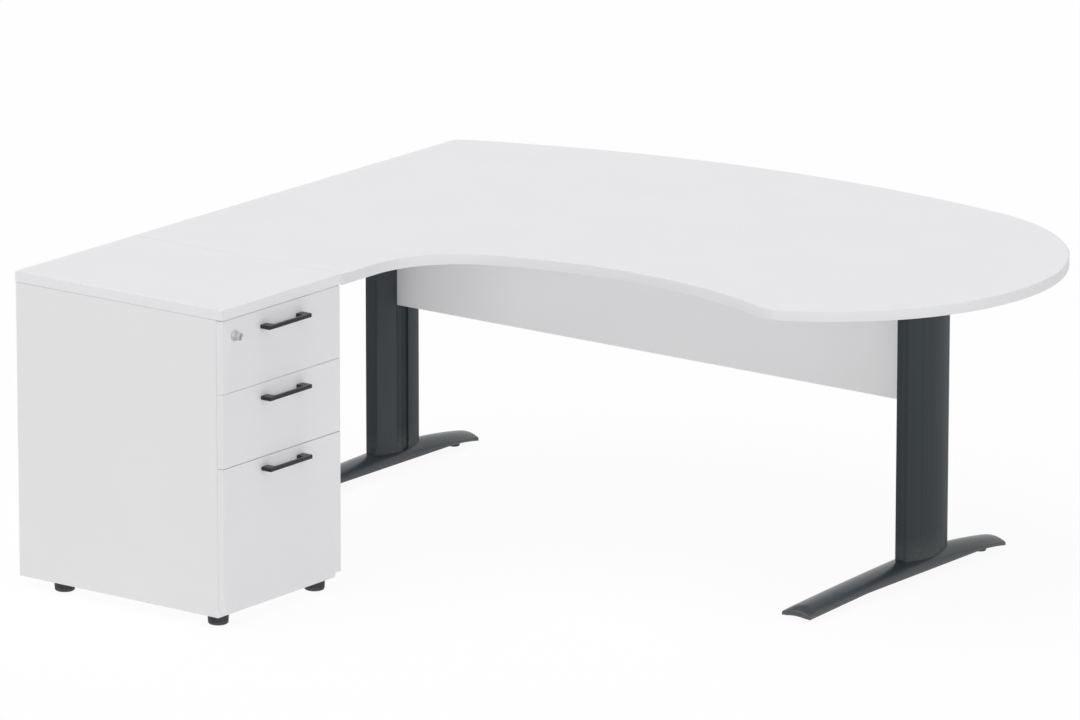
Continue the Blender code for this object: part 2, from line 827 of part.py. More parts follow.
def make_lock_stud(drawer, carrier):
    """The stud on a drawer's near side that the locking bar's hook catches."""
    place = Vector((bar_front + (hook_reach - hook_wall) / 2, 0, stud_level(drawer)))
    start, end = side_inner["near"] + 2 * seat_gap, side_inner["near"] + box_offset - seat_gap
    shape = rod(place, stud_radius, start, end, "Y")
    piece_of(f"{drawer}_lock_stud", shape, "zinc_steel", carrier, smooth=True)


def make_handle(drawer, carrier):
    """A flat bar handle with two wide feet and a finger gap behind its bar."""
    start, end = drawer_middle - handle_length / 2, drawer_middle + handle_length / 2
    seat, bar = front_face + seat_gap, front_face + handle_projection
    gap = bar - handle_bar_depth
    outline = rounded([
        (seat, start, 0), (bar, start, handle_outer_round), (bar, end, handle_outer_round), (seat, end, 0),
        (seat, end - handle_foot_width, 0), (gap, end - handle_foot_width, handle_inner_round),
        (gap, start + handle_foot_width, handle_inner_round), (seat, start + handle_foot_width, 0),
    ])
    middle = drawers[drawer][1] - handle_drops[drawer]
    shape = prism(outline, middle - handle_height / 2, middle + handle_height / 2)
    handle = piece_of(f"{drawer}_drawer_handle", shape, "handle_charcoal", carrier)
    softened(handle, handle_edge_round, 1)


def make_runner(drawer, carrier):
    """Nested steel channels on both sides of a drawer, three deep on the filing drawer."""
    filing = drawer == "filing"
    height = filing_runner_height if filing else small_runner_height
    rise = filing_runner_rise if filing else small_runner_rise
    middle = box_levels(drawer)[0] + rise
    nested = 2 * (runner_sheet + seat_gap)
    fixed_end = carcass_front - runner_setback
    drawer_end = front_rear - drawer_member_setback
    sliding = carrier_at("filing_middle_slide", (fixed_end, drawer_middle, middle)) if filing else None
    for side, way in inward.items():
        wall = side_inner[side]
        reach = runner_depth - runner_side_clearance
        outer = channel(wall + way * seat_gap, way * reach, middle, height, runner_sheet)
        piece_of(f"{drawer}_{side}_carcass_runner", prism(outer, fixed_end - runner_length, fixed_end, "X"),
                 "zinc_steel")
        if filing:
            step = runner_sheet + seat_gap
            second = channel(wall + way * (seat_gap + step), way * (reach - step), middle, height - nested,
                             runner_sheet)
            shape = prism(second, fixed_end - runner_length, fixed_end, "X")
            piece_of(f"{drawer}_{side}_middle_runner", shape, "zinc_steel", sliding)
        inner_height = height - nested * (2 if filing else 1)
        inner_reach = runner_depth - 2 * (runner_sheet + seat_gap)
        inner = channel(wall + way * (seat_gap + runner_depth), -way * inner_reach, middle, inner_height,
                        runner_sheet)
        piece_of(f"{drawer}_{side}_drawer_runner", prism(inner, drawer_end - runner_length, drawer_end, "X"),
                 "zinc_steel", carrier)


def make_drawers():
    carriers = {}
    for drawer, (low, high) in drawers.items():
        carrier = carrier_at(f"{drawer}_drawer_slide", (front_rear, drawer_middle, low))
        y_span = (near + front_side_reveal, pedestal_far - front_side_reveal)
        front = board(f"{drawer}_drawer_front", (front_rear, front_face), y_span, (low, high),
                      "front_white", carrier)
        if drawer == "top":
            hole_radius = lock_sleeve_radius + seat_gap
            cut(front, rod(lock_axis, hole_radius, front_rear - overrun, front_face + overrun, "X"))
        make_drawer_box(drawer, carrier)
        make_lock_stud(drawer, carrier)
        make_handle(drawer, carrier)
        make_runner(drawer, carrier)
        carriers[drawer] = carrier
    return carriers


# Lock

def pin_place():
    """The cam pin at rest, in Y and Z: towards the near side and below the lock's axis."""
    return lock_axis.y - cam_radius * math.cos(cam_rest_angle), lock_axis.z - pin_drop


def make_lock(drawer_carrier):
    sleeve_end = front_face + lock_projection
    flange_rear = front_face + seat_gap
    bore = barrel_radius + seat_gap
    profile = [(bore, lock_rear), (lock_sleeve_radius, lock_rear), (lock_sleeve_radius, flange_rear),
               (lock_flange_radius, flange_rear), (lock_flange_radius, flange_rear + lock_flange_thickness),
               (lock_sleeve_radius, flange_rear + lock_flange_thickness),
               (lock_sleeve_radius, sleeve_end), (bore, sleeve_end)]
    piece_of("lock_housing", turned(profile, lock_axis, "X", closed=True), "lock_metal", drawer_carrier,
             smooth=True)
    turner = carrier_at("lock_turn", (front_face, lock_axis.y, lock_axis.z), drawer_carrier)
    barrel_end = sleeve_end - barrel_recess
    barrel = piece_of("lock_barrel", rod(lock_axis, barrel_radius, lock_rear, barrel_end, "X"), "lock_metal",
                      turner, smooth=True)
    cut(barrel, block(
        (barrel_end - key_slot_depth, barrel_end + overrun),
        (lock_axis.y - key_slot_width / 2, lock_axis.y + key_slot_width / 2),
        (lock_axis.z - key_slot_height / 2, lock_axis.z + key_slot_height / 2),
    ))
    cam_front = lock_rear - seat_gap
    cam_rear = cam_front - cam_thickness
    plate = link((lock_axis.y, lock_axis.z), cam_eye_radius, pin_place(), cam_tip_radius)
    cam = piece_of("lock_cam", prism(plate, cam_rear, cam_front, "X"), "zinc_steel", turner)
    pin_y, pin_z = pin_place()
    pin_end = bar_front - tab_thickness - cam_pin_overhang
    joined(cam, rod(Vector((0, pin_y, pin_z)), cam_pin_radius, pin_end, cam_front - cam_thickness / 2, "X"))


def hook_levels(drawer):
    """The underside, the floor and the lip of the hook that catches a drawer's stud."""
    lip = stud_level(drawer) - stud_radius - hook_clearance
    floor = lip - lock_lift
    return floor - hook_wall, floor, lip


def hook_outline():
    """The bar's front edge, from the lowest hook up: a floor and a lip in front of each stud."""
    lip_front = bar_front + hook_reach
    outline = []
    for drawer in ("filing", "middle", "top"):
        low, floor, lip = hook_levels(drawer)
        if outline:
            outline.append((bar_front, low))
        outline += [(lip_front, low), (lip_front, lip), (lip_front - hook_wall, lip),
                    (lip_front - hook_wall, floor), (bar_front, floor)]
    return outline


def make_locking_bar():
    """A flat bar with three hooks and a slotted tab, lifted by the cam's pin."""
    pin_y, pin_z = pin_place()
    slot = cam_pin_radius + slot_clearance
    tab_half = slot + tab_wall
    hooks = hook_outline()
    bar_rear = bar_front - bar_width
    outline = hooks + [(bar_front, pin_z + tab_half), (bar_rear, pin_z + tab_half), (bar_rear, hooks[0][1])]
    start = side_inner["near"] + seat_gap
    lifter = carrier_at("locking_bar_lift", (bar_front, start, pin_z))
    bar = piece_of("locking_bar", prism(outline, start, start + bar_thickness, "Y"), "zinc_steel", lifter)
    tab_rear = bar_front - tab_thickness
    joined(bar, block((tab_rear, bar_front), (start, pin_y + tab_half), (pin_z - tab_half, pin_z + tab_half)))
    cut(bar, block((tab_rear - overrun, bar_front + overrun), (lock_axis.y - cam_radius - slot, pin_y + slot),
                   (pin_z - slot, pin_z + slot)))
    make_bar_guides(bar_rear, start)


def make_bar_guides(bar_rear, start):
    """Hat-shaped guides that hold the bar to the near side."""
    roof = start + bar_thickness + seat_gap
    rear, front = bar_rear - seat_gap, bar_front + seat_gap
    section = [
        (rear - guide_sheet - guide_wing, start), (rear, start), (rear, roof), (front, roof), (front, start),
        (front + guide_sheet + guide_wing, start), (front + guide_sheet + guide_wing, start + guide_sheet),
        (front + guide_sheet, start + guide_sheet), (front + guide_sheet, roof + guide_sheet),
        (rear - guide_sheet, roof + guide_sheet), (rear - guide_sheet, start + guide_sheet),
        (rear - guide_sheet - guide_wing, start + guide_sheet),
    ]
    for place, drawer in {"lower": "middle", "upper": "top"}.items():
        high = hook_levels(drawer)[0] - guide_drop
        piece_of(f"{place}_bar_guide", prism(section, high - guide_height, high), "zinc_steel")


def main():
    for thing in list(bpy.data.objects):
        bpy.data.objects.remove(thing)
    make_worktop()
    for side in leg_line:
        make_foot(side)
        make_column(side)
        make_cable_cover(side)
        make_channel_strip(side)
        make_top_arm(side)
    make_modesty_panel()
    make_return_angle()
    make_carcass()
    carriers = make_drawers()
    make_lock(carriers["top"])
    make_locking_bar()


main()
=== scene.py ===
import math

import bmesh
import bpy
import numpy as np
from mathutils import Euler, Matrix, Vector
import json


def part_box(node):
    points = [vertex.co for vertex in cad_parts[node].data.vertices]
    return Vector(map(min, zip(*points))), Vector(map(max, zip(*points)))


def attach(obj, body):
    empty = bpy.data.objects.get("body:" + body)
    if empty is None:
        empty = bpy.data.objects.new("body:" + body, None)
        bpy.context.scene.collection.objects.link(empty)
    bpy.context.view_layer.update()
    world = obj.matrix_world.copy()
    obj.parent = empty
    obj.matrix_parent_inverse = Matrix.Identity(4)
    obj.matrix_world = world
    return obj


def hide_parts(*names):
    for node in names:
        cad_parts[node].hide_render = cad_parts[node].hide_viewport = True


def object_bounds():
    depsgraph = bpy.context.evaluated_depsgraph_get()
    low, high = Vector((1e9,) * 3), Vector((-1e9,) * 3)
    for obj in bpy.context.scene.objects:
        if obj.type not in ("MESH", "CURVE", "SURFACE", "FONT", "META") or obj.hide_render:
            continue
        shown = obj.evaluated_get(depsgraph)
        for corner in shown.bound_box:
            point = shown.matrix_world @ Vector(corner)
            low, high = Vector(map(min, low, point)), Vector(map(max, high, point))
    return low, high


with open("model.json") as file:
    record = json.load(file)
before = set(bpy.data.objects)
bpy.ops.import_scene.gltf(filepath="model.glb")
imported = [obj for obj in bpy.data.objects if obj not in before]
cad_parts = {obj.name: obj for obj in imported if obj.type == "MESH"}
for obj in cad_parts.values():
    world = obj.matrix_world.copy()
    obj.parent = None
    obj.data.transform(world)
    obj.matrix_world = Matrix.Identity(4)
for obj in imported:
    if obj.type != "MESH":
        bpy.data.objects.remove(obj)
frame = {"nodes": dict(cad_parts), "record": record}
nodes = frame["nodes"]
cadLow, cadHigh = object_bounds()
slots = {part["node"]: part["material_slot"] for part in frame["record"]["subparts"]}
print("frame loaded:", len(nodes), "nodes")


def middleOf(node):
    return tuple((a + b) / 2 for a, b in zip(*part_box(node)))


# Surfaces: a skin is rows of points, one quad between four neighbours

def runLengths(points):
    # the length run from the first point to each next one, and back to the first
    return np.r_[0, np.cumsum(np.linalg.norm(np.roll(points, -1, axis=0) - points, axis=1))]


def skin(rows, looped=False, caps=()):
    # rows is (rows, points, 3), each row closed; U is the length along a row, V from row to row, in metres
    rows = np.asarray(rows, float)
    count, width = rows.shape[:2]
    i = np.arange(count if looped else count - 1)[:, None]
    j = np.arange(width)[None, :]
    here, ahead, nextJ = i * width, (i + 1) % count * width, (j + 1) % width
    quads = np.stack([here + j, here + nextJ, ahead + nextJ, ahead + j], axis=-1)
    along, across = runLengths(rows[0]), runLengths(rows[:, 0])
    u = np.stack(np.broadcast_arrays(along[j], along[j + 1], along[j + 1], along[j]), axis=-1)
    v = np.stack(np.broadcast_arrays(across[i], across[i], across[i + 1], across[i + 1]), axis=-1)
    u, v = (np.broadcast_to(part, quads.shape) for part in (u, v))
    faces, corners = quads.reshape(-1, 4).tolist(), [np.stack([u, v], axis=-1).reshape(-1, 2)]
    for cap in caps:
        start = 0 if cap == "first" else (count - 1) * width
        faces.append(list(range(start, start + width)))
        corners.append(rows[0 if cap == "first" else -1][:, :2])
    return rows.reshape(-1, 3), faces, np.concatenate(corners)


mergeWithin = 0.000002  # points of a piece nearer than this become one


def makePiece(name, skins, body, stands=(), slot=None, sharp=38, flatAbove=math.inf):
    # one object out of several skins, its doubles merged and its faces turned outwards, in the finish of its
    # slot or of the node that it stands for; edges sharper than that angle are hard, large faces are flat
    slot = slot or slots[stands[0]]
    points, faces, corners, start = [], [], [], 0
    for skinPoints, skinFaces, skinCorners in skins:
        points.append(skinPoints)
        faces += [[start + index for index in face] for face in skinFaces]
        corners.append(skinCorners)
        start += len(skinPoints)
    mesh = bpy.data.meshes.new(name)
    mesh.from_pydata(np.concatenate(points).tolist(), [], faces)
    lengths = np.concatenate(corners).astype(np.float32)
    mesh.uv_layers.new(name="length").data.foreach_set("uv", lengths.ravel())
    shape = bmesh.new()
    shape.from_mesh(mesh)
    bmesh.ops.remove_doubles(shape, verts=shape.verts, dist=mergeWithin)
    bmesh.ops.recalc_face_normals(shape, faces=shape.faces)
    shape.to_mesh(mesh)
    shape.free()
    mesh.shade_smooth()
    mesh.set_sharp_from_angle(angle=math.radians(sharp))
    mesh.polygons.foreach_set("use_smooth", [face.area < flatAbove for face in mesh.polygons])
    mesh.materials.append(finishes[slot])
    piece = bpy.data.objects.new(name, mesh)
    bpy.context.scene.collection.objects.link(piece)
    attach(piece, body)
    if stands:
        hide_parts(*stands)


def laid(axis, u, v, w):
    # plan values u and v with level w, turned so that w runs along the axis
    u, v, w = np.broadcast_arrays(u, v, w)
    return np.stack({"X": (w, u, v), "Y": (u, w, v), "Z": (u, v, w)}[axis], axis=-1)


def turnedRows(profile, centre, steps, axis="Z"):
    # point(level, turn) = centre + radius (cos turn, sin turn) with the level along the axis
    profile = np.asarray(profile, float)
    turn = np.linspace(0, 2 * np.pi, steps, endpoint=False)
    radius, level = profile[:, :1], profile[:, 1:]
    return laid(axis, radius * np.cos(turn), radius * np.sin(turn), level) + np.asarray(centre, float)


def arcPoints(centre, radius, start, end, count):
    # point(t) = centre + radius (cos t, sin t)
    t = np.linspace(start, end, count)
    return np.stack([centre[0] + radius * np.cos(t), centre[1] + radius * np.sin(t)], axis=-1)


def filleted(corners, steps):
    # each corner P with radius r becomes (1-t)^2 A + 2t(1-t) P + t^2 B, A and B lying r before and after it
    corners = np.asarray(corners, float)
    here, radius = corners[:, :2], corners[:, 2:]
    before, after = np.roll(here, 1, axis=0) - here, np.roll(here, -1, axis=0) - here
    a = (here + before / np.linalg.norm(before, axis=1, keepdims=True) * radius)[:, None]
    b = (here + after / np.linalg.norm(after, axis=1, keepdims=True) * radius)[:, None]
    t = np.linspace(0, 1, steps)[None, :, None]
    outline = ((1 - t)**2 * a + 2 * t * (1 - t) * here[:, None] + t**2 * b).reshape(-1, 2)
    apart = np.linalg.norm(np.roll(outline, -1, axis=0) - outline, axis=1)
    return outline[apart > 1e-7]  # without the doubles of corners of no radius


def insetBy(outline, distance):
    # each point moves to where its two sides meet once they are moved in by distance, one for each side
    outline = np.asarray(outline, float)
    side = np.roll(outline, -1, axis=0) - outline
    side /= np.linalg.norm(side, axis=1, keepdims=True)
    normal = np.stack([side[:, 1], -side[:, 0]], axis=-1)
    area = np.sum(outline[:, 0] * np.roll(outline[:, 1], -1) - outline[:, 1] * np.roll(outline[:, 0], -1))
    normal *= np.sign(area)
    distance = np.broadcast_to(distance, len(outline)).astype(float)
    first, second = np.roll(normal, 1, axis=0), normal
    d1, d2 = -np.roll(distance, 1), -distance
    cross = first[:, 0] * second[:, 1] - first[:, 1] * second[:, 0]
    flat = np.abs(cross) < 0.02  # two sides all but in line
    cross = np.where(flat, 1, cross)
    moved = np.stack([d1 * second[:, 1] - d2 * first[:, 1], d2 * first[:, 0] - d1 * second[:, 0]], axis=-1)
    return outline + np.where(flat[:, None], second * d2[:, None], moved / cross[:, None])


def prismRows(outline, low, high, edgeRound, steps, shares=1.0, axis="Z"):
    # the outline between two levels; at turn t an edge is in by r (1 - sin t), and r (1 - cos t) off its end,
    # with a share of r for each side of the outline
    t = np.linspace(0, np.pi / 2, steps)
    rings = [(edgeRound * (1 - math.sin(a)), low + edgeRound * (1 - math.cos(a))) for a in t]
    rings += [(inward, low + high - level) for inward, level in rings[::-1]]
    rows = [(insetBy(outline, inward * np.asarray(shares)), level) for inward, level in rings]
    return np.stack([laid(axis, *points.T, level) for points, level in rows])


def prismSkin(outline, low, high, edgeRound, steps, shares=1.0, axis="Z"):
    return skin(prismRows(outline, low, high, edgeRound, steps, shares, axis), caps=("first", "last"))


# Camera, floor and light

cameraSettings = {
    "place": (12.008, -16.1245, 5.7217),
    "down": 14.6023,  # degrees below the horizon
    "turn": 37.0418,  # degrees round Z
    "roll": 0.034,
    "lens": 307.59,
    "sensor": 36.0,
    "reach": 200.0,  # how far the camera sees
}

studio = {
    "floorSize": 60.0,
    "floorLevel": -0.0005,  # just below the glides
    "floorGrey": 0.40,
    "floorGlow": 0.43,  # a white floor under studio lamps, for the light that it throws up
    "floorWhite": 0.93,  # what the camera sees where no shadow falls
    "shadowShare": 0.07,  # how much of the light that falls on the floor the camera sees on top of that
    "skyStrength": 0.22,
}

suns = {
    "key": {"strength": 0.60, "turn": (16.0, 0.0, -35.0), "spread": 70.0},
    "fill": {"strength": 0.195, "turn": (84.0, 0.0, 22.0), "spread": 24.0},
    "left": {"strength": 0.10, "turn": (84.0, 0.0, -70.0), "spread": 30.0},
    "side": {"strength": 0.26, "turn": (82.0, 0.0, 90.0), "spread": 30.0},
}


def srgb(red, green, blue):
    # a colour of 0 to 255 as linear light
    shares = [value / 255 for value in (red, green, blue)]
    return tuple(s / 12.92 if s <= 0.04045 else ((s + 0.055) / 1.055) ** 2.4 for s in shares) + (1.0,)


def addNode(tree, kind, inputs=None, **settings):
    node = tree.nodes.new(kind)
    for name, value in settings.items():
        setattr(node, name, value)
    for name, value in (inputs or {}).items():
        if isinstance(value, bpy.types.NodeSocket):
            tree.links.new(value, node.inputs[name])
        else:
            node.inputs[name].default_value = value
    return node


def ranged(tree, value, low, high, fromLow=0.0, fromHigh=1.0):
    settings = {"Value": value, "From Min": fromLow, "From Max": fromHigh, "To Min": low, "To Max": high}
    return addNode(tree, "ShaderNodeMapRange", settings).outputs[0]


def newMaterial(name, colour, roughness, metallic=0.0, specular=0.5):
    material = bpy.data.materials.new(name)
    material.use_nodes = True
    tree = material.node_tree
    surface = tree.nodes["Principled BSDF"]
    surface.inputs["Base Color"].default_value = colour
    surface.inputs["Roughness"].default_value = roughness
    surface.inputs["Metallic"].default_value = metallic
    surface.inputs["Specular IOR Level"].default_value = specular
    return material, tree, surface


def makeCamera():
    data = bpy.data.cameras.new("camera")
    data.lens = cameraSettings["lens"]
    data.sensor_width = cameraSettings["sensor"]
    data.clip_end = cameraSettings["reach"]
    camera = bpy.data.objects.new("camera", data)
    camera.location = cameraSettings["place"]
    look = Euler((math.radians(90 - cameraSettings["down"]), 0, math.radians(cameraSettings["turn"])))
    spin = Euler((0, 0, math.radians(cameraSettings["roll"])))
    camera.rotation_euler = (look.to_matrix() @ spin.to_matrix()).to_euler()
    bpy.context.scene.collection.objects.link(camera)
    bpy.context.scene.camera = camera


def seenDirectly(tree):
    # 1 for rays from the camera, a reflection or a transmission, 0 for light that is only scattered
    path = addNode(tree, "ShaderNodeLightPath")
    seen = path.outputs["Is Camera Ray"]
    for ray in ("Is Glossy Ray", "Is Transmission Ray"):
        either = addNode(tree, "ShaderNodeMath", {0: seen, 1: path.outputs[ray]}, operation="MAXIMUM")
        seen = either.outputs[0]
    return seen


def makeSuns():
    for name, sun in suns.items():
        light = bpy.data.lights.new(name, "SUN")
        light.energy = sun["strength"] * math.pi
        light.angle = math.radians(sun["spread"])
        lamp = bpy.data.objects.new(name, light)
        lamp.rotation_euler = [math.radians(a) for a in sun["turn"]]
        bpy.context.scene.collection.objects.link(lamp)


def makeStudio():
    half, level = studio["floorSize"] / 2, studio["floorLevel"]
    corners = [(-half, -half, level), (half, -half, level), (half, half, level), (-half, half, level)]
    mesh = bpy.data.meshes.new("floor")
    mesh.from_pydata(corners, [], [(0, 1, 2, 3)])
    floor = bpy.data.objects.new("floor", mesh)
    bpy.context.scene.collection.objects.link(floor)
    material, tree, surface = newMaterial("paleFloor", (studio["floorGrey"],) * 3 + (1.0,), 0.9, specular=0.0)
    glow = addNode(tree, "ShaderNodeEmission", {"Color": (1, 1, 1, 1), "Strength": studio["floorGlow"]})
    lit = addNode(tree, "ShaderNodeAddShader", {0: surface.outputs[0], 1: glow.outputs[0]})
    grey = addNode(tree, "ShaderNodeBsdfDiffuse", {"Color": (studio["shadowShare"],) * 3 + (1.0,)})
    white = addNode(tree, "ShaderNodeEmission", {"Color": (1, 1, 1, 1), "Strength": studio["floorWhite"]})
    seen = addNode(tree, "ShaderNodeAddShader", {0: grey.outputs[0], 1: white.outputs[0]})
    mix = addNode(tree, "ShaderNodeMixShader", {0: seenDirectly(tree), 1: lit.outputs[0], 2: seen.outputs[0]})
    tree.links.new(mix.outputs[0], tree.nodes["Material Output"].inputs["Surface"])
    mesh.materials.append(material)

    world = bpy.data.worlds.new("studio")
    bpy.context.scene.world = world
    world.use_nodes = True
    tree = world.node_tree
    strength = ranged(tree, seenDirectly(tree), studio["skyStrength"], 1.0)
    tree.links.new(strength, tree.nodes["Background"].inputs["Strength"])
    tree.nodes["Background"].inputs["Color"].default_value = (1, 1, 1, 1)
    bpy.context.scene.view_settings.view_transform = "Standard"


makeCamera()
makeStudio()
makeSuns()
print("camera and studio made")


# Finishes: patterns in cells a metre on the piece's own coordinates. One blends the two colours and one sets
# the roughness, each between the two values that follow its name; two more are the pattern's values where the
# blend starts and ends. The bumps lie on each other, each with its strength and its depth in metres

def noise(tree, scale, detail, roughness=0.5, stretch=(1, 1, 1), place=None):
    place = place or addNode(tree, "ShaderNodeTexCoord").outputs["Object"]
    place = addNode(tree, "ShaderNodeMapping", {"Vector": place, "Scale": stretch}).outputs[0]
    inputs = {"Vector": place, "Scale": scale, "Detail": detail, "Roughness": roughness}
    return addNode(tree, "ShaderNodeTexNoise", inputs).outputs["Fac"]


def lengthNoise(tree, scale, detail, roughness, stretch):
    # on the lengths along and across the piece
    place = addNode(tree, "ShaderNodeUVMap", uv_map="length").outputs[0]
    return noise(tree, scale, detail, roughness, stretch, place)


def cells(tree, scale):
    place = addNode(tree, "ShaderNodeTexCoord").outputs["Object"]
    return addNode(tree, "ShaderNodeTexVoronoi", {"Vector": place, "Scale": scale})


def flecks(tree, scale):
    return cells(tree, scale).outputs["Distance"]


def spangles(tree, scale):
    # one tone for each cell
    tones = cells(tree, scale).outputs["Color"]
    return addNode(tree, "ShaderNodeSeparateColor", {"Color": tones}).outputs["Red"]


def ringNoise(tree, scale, detail):
    # noise over the distance from the lock's own axis, which runs along X
    place, centre = addNode(tree, "ShaderNodeTexCoord").outputs["Object"], middleOf("lock_barrel")
    radial = addNode(tree, "ShaderNodeVectorMath", {0: place, 1: centre}, operation="SUBTRACT").outputs[0]
    flat = addNode(tree, "ShaderNodeVectorMath", {0: radial, 1: (0, 1, 1)}, operation="MULTIPLY").outputs[0]
    radius = addNode(tree, "ShaderNodeVectorMath", {0: flat}, operation="LENGTH").outputs["Value"]
    inputs = {"W": radius, "Scale": scale, "Detail": detail}
    return addNode(tree, "ShaderNodeTexNoise", inputs, noise_dimensions="1D").outputs["Fac"]


laminate = {
    "second": 0.965,
    "specular": 0.35,
    "patterns": {
        "cloud": (noise, 5.0, 4.0),
        "gloss": (noise, 14.0, 5.0, 0.6),
        "wave": (noise, 160.0, 2.0),
        "pearl": (noise, 1100.0, 2.0, 0.6),
    },
    "tint": ("cloud", 0.0, 0.5, 0.3, 0.8),
}
finishSettings = {
    # melamine on board: a fine pearl grain, a slow drift of gloss and a hardly visible cloudiness
    "worktop_laminate": {
        **laminate,
        "colour": (241, 241, 243),
        "roughness": ("gloss", 0.40, 0.52),
        "bumps": {"wave": (0.06, 0.0004), "pearl": (0.10, 0.00012)},
    },
    "panel_laminate": {
        **laminate,
        "colour": (239, 239, 240),
        "roughness": ("gloss", 0.46, 0.58),
        "bumps": {"wave": (0.06, 0.0004), "pearl": (0.13, 0.00012)},
    },
    "front_laminate": {
        **laminate,
        "colour": (238, 238, 240),
        "roughness": ("gloss", 0.44, 0.56),
        "bumps": {"wave": (0.06, 0.0004), "pearl": (0.12, 0.00012)},
    },
    # plastic edging: faint streaks along its length from the die, a little glossier than the board
    "edging": {
        "colour": (234, 234, 236),
        "second": 0.955,
        "specular": 0.4,
        "patterns": {
            "streak": (lengthNoise, 1.0, 3.0, 0.6, (7.0, 1500.0, 1.0)),
            "grain": (noise, 420.0, 2.0),
        },
        "tint": ("streak", 0.0, 0.6, 0.35, 0.8),
        "roughness": ("streak", 0.33, 0.45),
        "bumps": {"streak": (0.12, 0.00008), "grain": (0.06, 0.0001)},
    },
    # powder coat over a casting: orange peel, soft waves of the sand mould, pale flecks and dust
    "cast_aluminium": {
        "colour": (50, 57, 61),
        "second": (66, 73, 78),
        "specular": 0.42,
        "patterns": {
            "fleck": (flecks, 1400.0),
            "gloss": (noise, 60.0, 4.0, 0.6),
            "wave": (noise, 75.0, 3.0),
            "peel": (noise, 620.0, 2.0, 0.4),
        },
        "tint": ("fleck", 1.0, 0.0, 0.05, 0.32),
        "roughness": ("gloss", 0.25, 0.35),
        "bumps": {"wave": (0.03, 0.0006), "peel": (0.06, 0.00012)},
        "dust": {"colour": (150, 148, 144), "level": 0.004, "spread": 0.028, "amount": 0.55},
    },
    # coated extrusion: die lines that run up its whole height under a thin satin coat
    "column_aluminium": {
        "colour": (59, 64, 67),
        "second": (66, 71, 74),
        "specular": 0.06,
        "patterns": {
            "fine": (noise, 1500.0, 2.0, 0.6, (1.0, 1.0, 0.006)),
            "broad": (noise, 130.0, 3.0, 0.5, (1.0, 1.0, 0.006)),
            "grain": (noise, 700.0, 2.0),
        },
        "tint": ("broad", 0.0, 0.7, 0.35, 0.75),
        "roughness": ("fine", 0.34, 0.48),
        "bumps": {"broad": (0.10, 0.00025), "fine": (0.16, 0.00008), "grain": (0.10, 0.0001)},
        "dust": {"colour": (150, 148, 144), "level": 0.045, "spread": 0.06, "amount": 0.25},
    },
    # extruded plastic: softer and more matt than the column, with faint flow streaks and a fine grain
    "cover_plastic": {
        "colour": (63, 68, 71),
        "second": (70, 75, 78),
        "specular": 0.2,
        "patterns": {
            "streak": (noise, 320.0, 4.0, 0.6, (1.0, 1.0, 0.02)),
            "grain": (noise, 1200.0, 2.0, 0.6),
        },
        "tint": ("streak", 0.0, 0.8, 0.3, 0.75),
        "roughness": ("streak", 0.48, 0.62),
        "bumps": {"grain": (0.16, 0.00012)},
    },
    # moulded plastic with a spark-eroded grain, dusty where it meets the floor
    "glide_plastic": {
        "colour": (41, 42, 44),
        "second": (52, 53, 55),
        "specular": 0.4,
        "patterns": {"cloud": (noise, 130.0, 3.0), "grain": (noise, 1500.0, 3.0, 0.7)},
        "tint": ("cloud", 0.0, 1.0),
        "roughness": ("grain", 0.50, 0.68),
        "bumps": {"grain": (0.25, 0.00012)},
        "dust": {"colour": (140, 138, 134), "level": 0.0, "spread": 0.009, "amount": 0.5},
    },
    # satin coat on a zinc casting: smooth, with a faint peel and slow changes of gloss where hands pull
    "handle_zinc": {
        "colour": (30, 32, 35),
        "second": (42, 44, 47),
        "specular": 0.35,
        "patterns": {
            "worn": (noise, 45.0, 4.0),
            "gloss": (noise, 110.0, 4.0, 0.6),
            "peel": (noise, 900.0, 2.0),
        },
        "tint": ("worn", 0.0, 0.5, 0.45, 0.8),
        "roughness": ("gloss", 0.26, 0.40),
        "bumps": {"peel": (0.12, 0.0001)},
    },
    # turned nickel plate: fine rings round the lock's own axis
    "lock_metal": {
        "colour": (196, 197, 199),
        "second": (168, 169, 171),
        "metallic": 1.0,
        "patterns": {"cloud": (noise, 320.0, 3.0), "ring": (ringNoise, 5200.0, 3.0)},
        "tint": ("cloud", 0.0, 0.6, 0.4, 0.8),
        "roughness": ("ring", 0.26, 0.42),
        "bumps": {"ring": (0.14, 0.00004)},
    },
    # galvanised sheet: each spangle has its own tone and gloss, over faint rolling lines
    "zinc_steel": {
        "colour": (190, 193, 196),
        "second": (172, 176, 180),
        "metallic": 1.0,
        "patterns": {"spangle": (spangles, 150.0), "line": (noise, 900.0, 2.0, 0.5, (0.03, 1.0, 1.0))},
        "tint": ("spangle", 0.0, 0.7),
        "roughness": ("spangle", 0.36, 0.44),
        "bumps": {"line": (0.08, 0.00005)},
    },
    # textured black powder coat on steel
    "arm_steel": {
        "colour": (36, 38, 40),
        "second": (58, 60, 62),
        "specular": 0.45,
        "patterns": {"peel": (noise, 850.0, 3.0, 0.6)},
        "tint": ("peel", 0.0, 0.8, 0.55, 0.75),
        "roughness": ("peel", 0.42, 0.60),
        "bumps": {"peel": (0.30, 0.0002)},
    },
}
dustBreaks = (90.0, 4.0)  # the noise that breaks up the dust


def dusted(tree, clean, dust):
    # dust that thins out upwards: amount at the floor, nothing from level + spread on
    place = addNode(tree, "ShaderNodeTexCoord").outputs["Object"]
    height = addNode(tree, "ShaderNodeSeparateXYZ", {"Vector": place}).outputs["Z"]
    near = ranged(tree, height, dust["amount"], 0.0, dust["level"], dust["level"] + dust["spread"])
    broken = addNode(tree, "ShaderNodeMath", {0: near, 1: noise(tree, *dustBreaks)}, operation="MULTIPLY")
    colours = {"Factor": broken.outputs[0], "A": clean, "B": srgb(*dust["colour"])}
    return addNode(tree, "ShaderNodeMix", colours, data_type="RGBA").outputs["Result"]


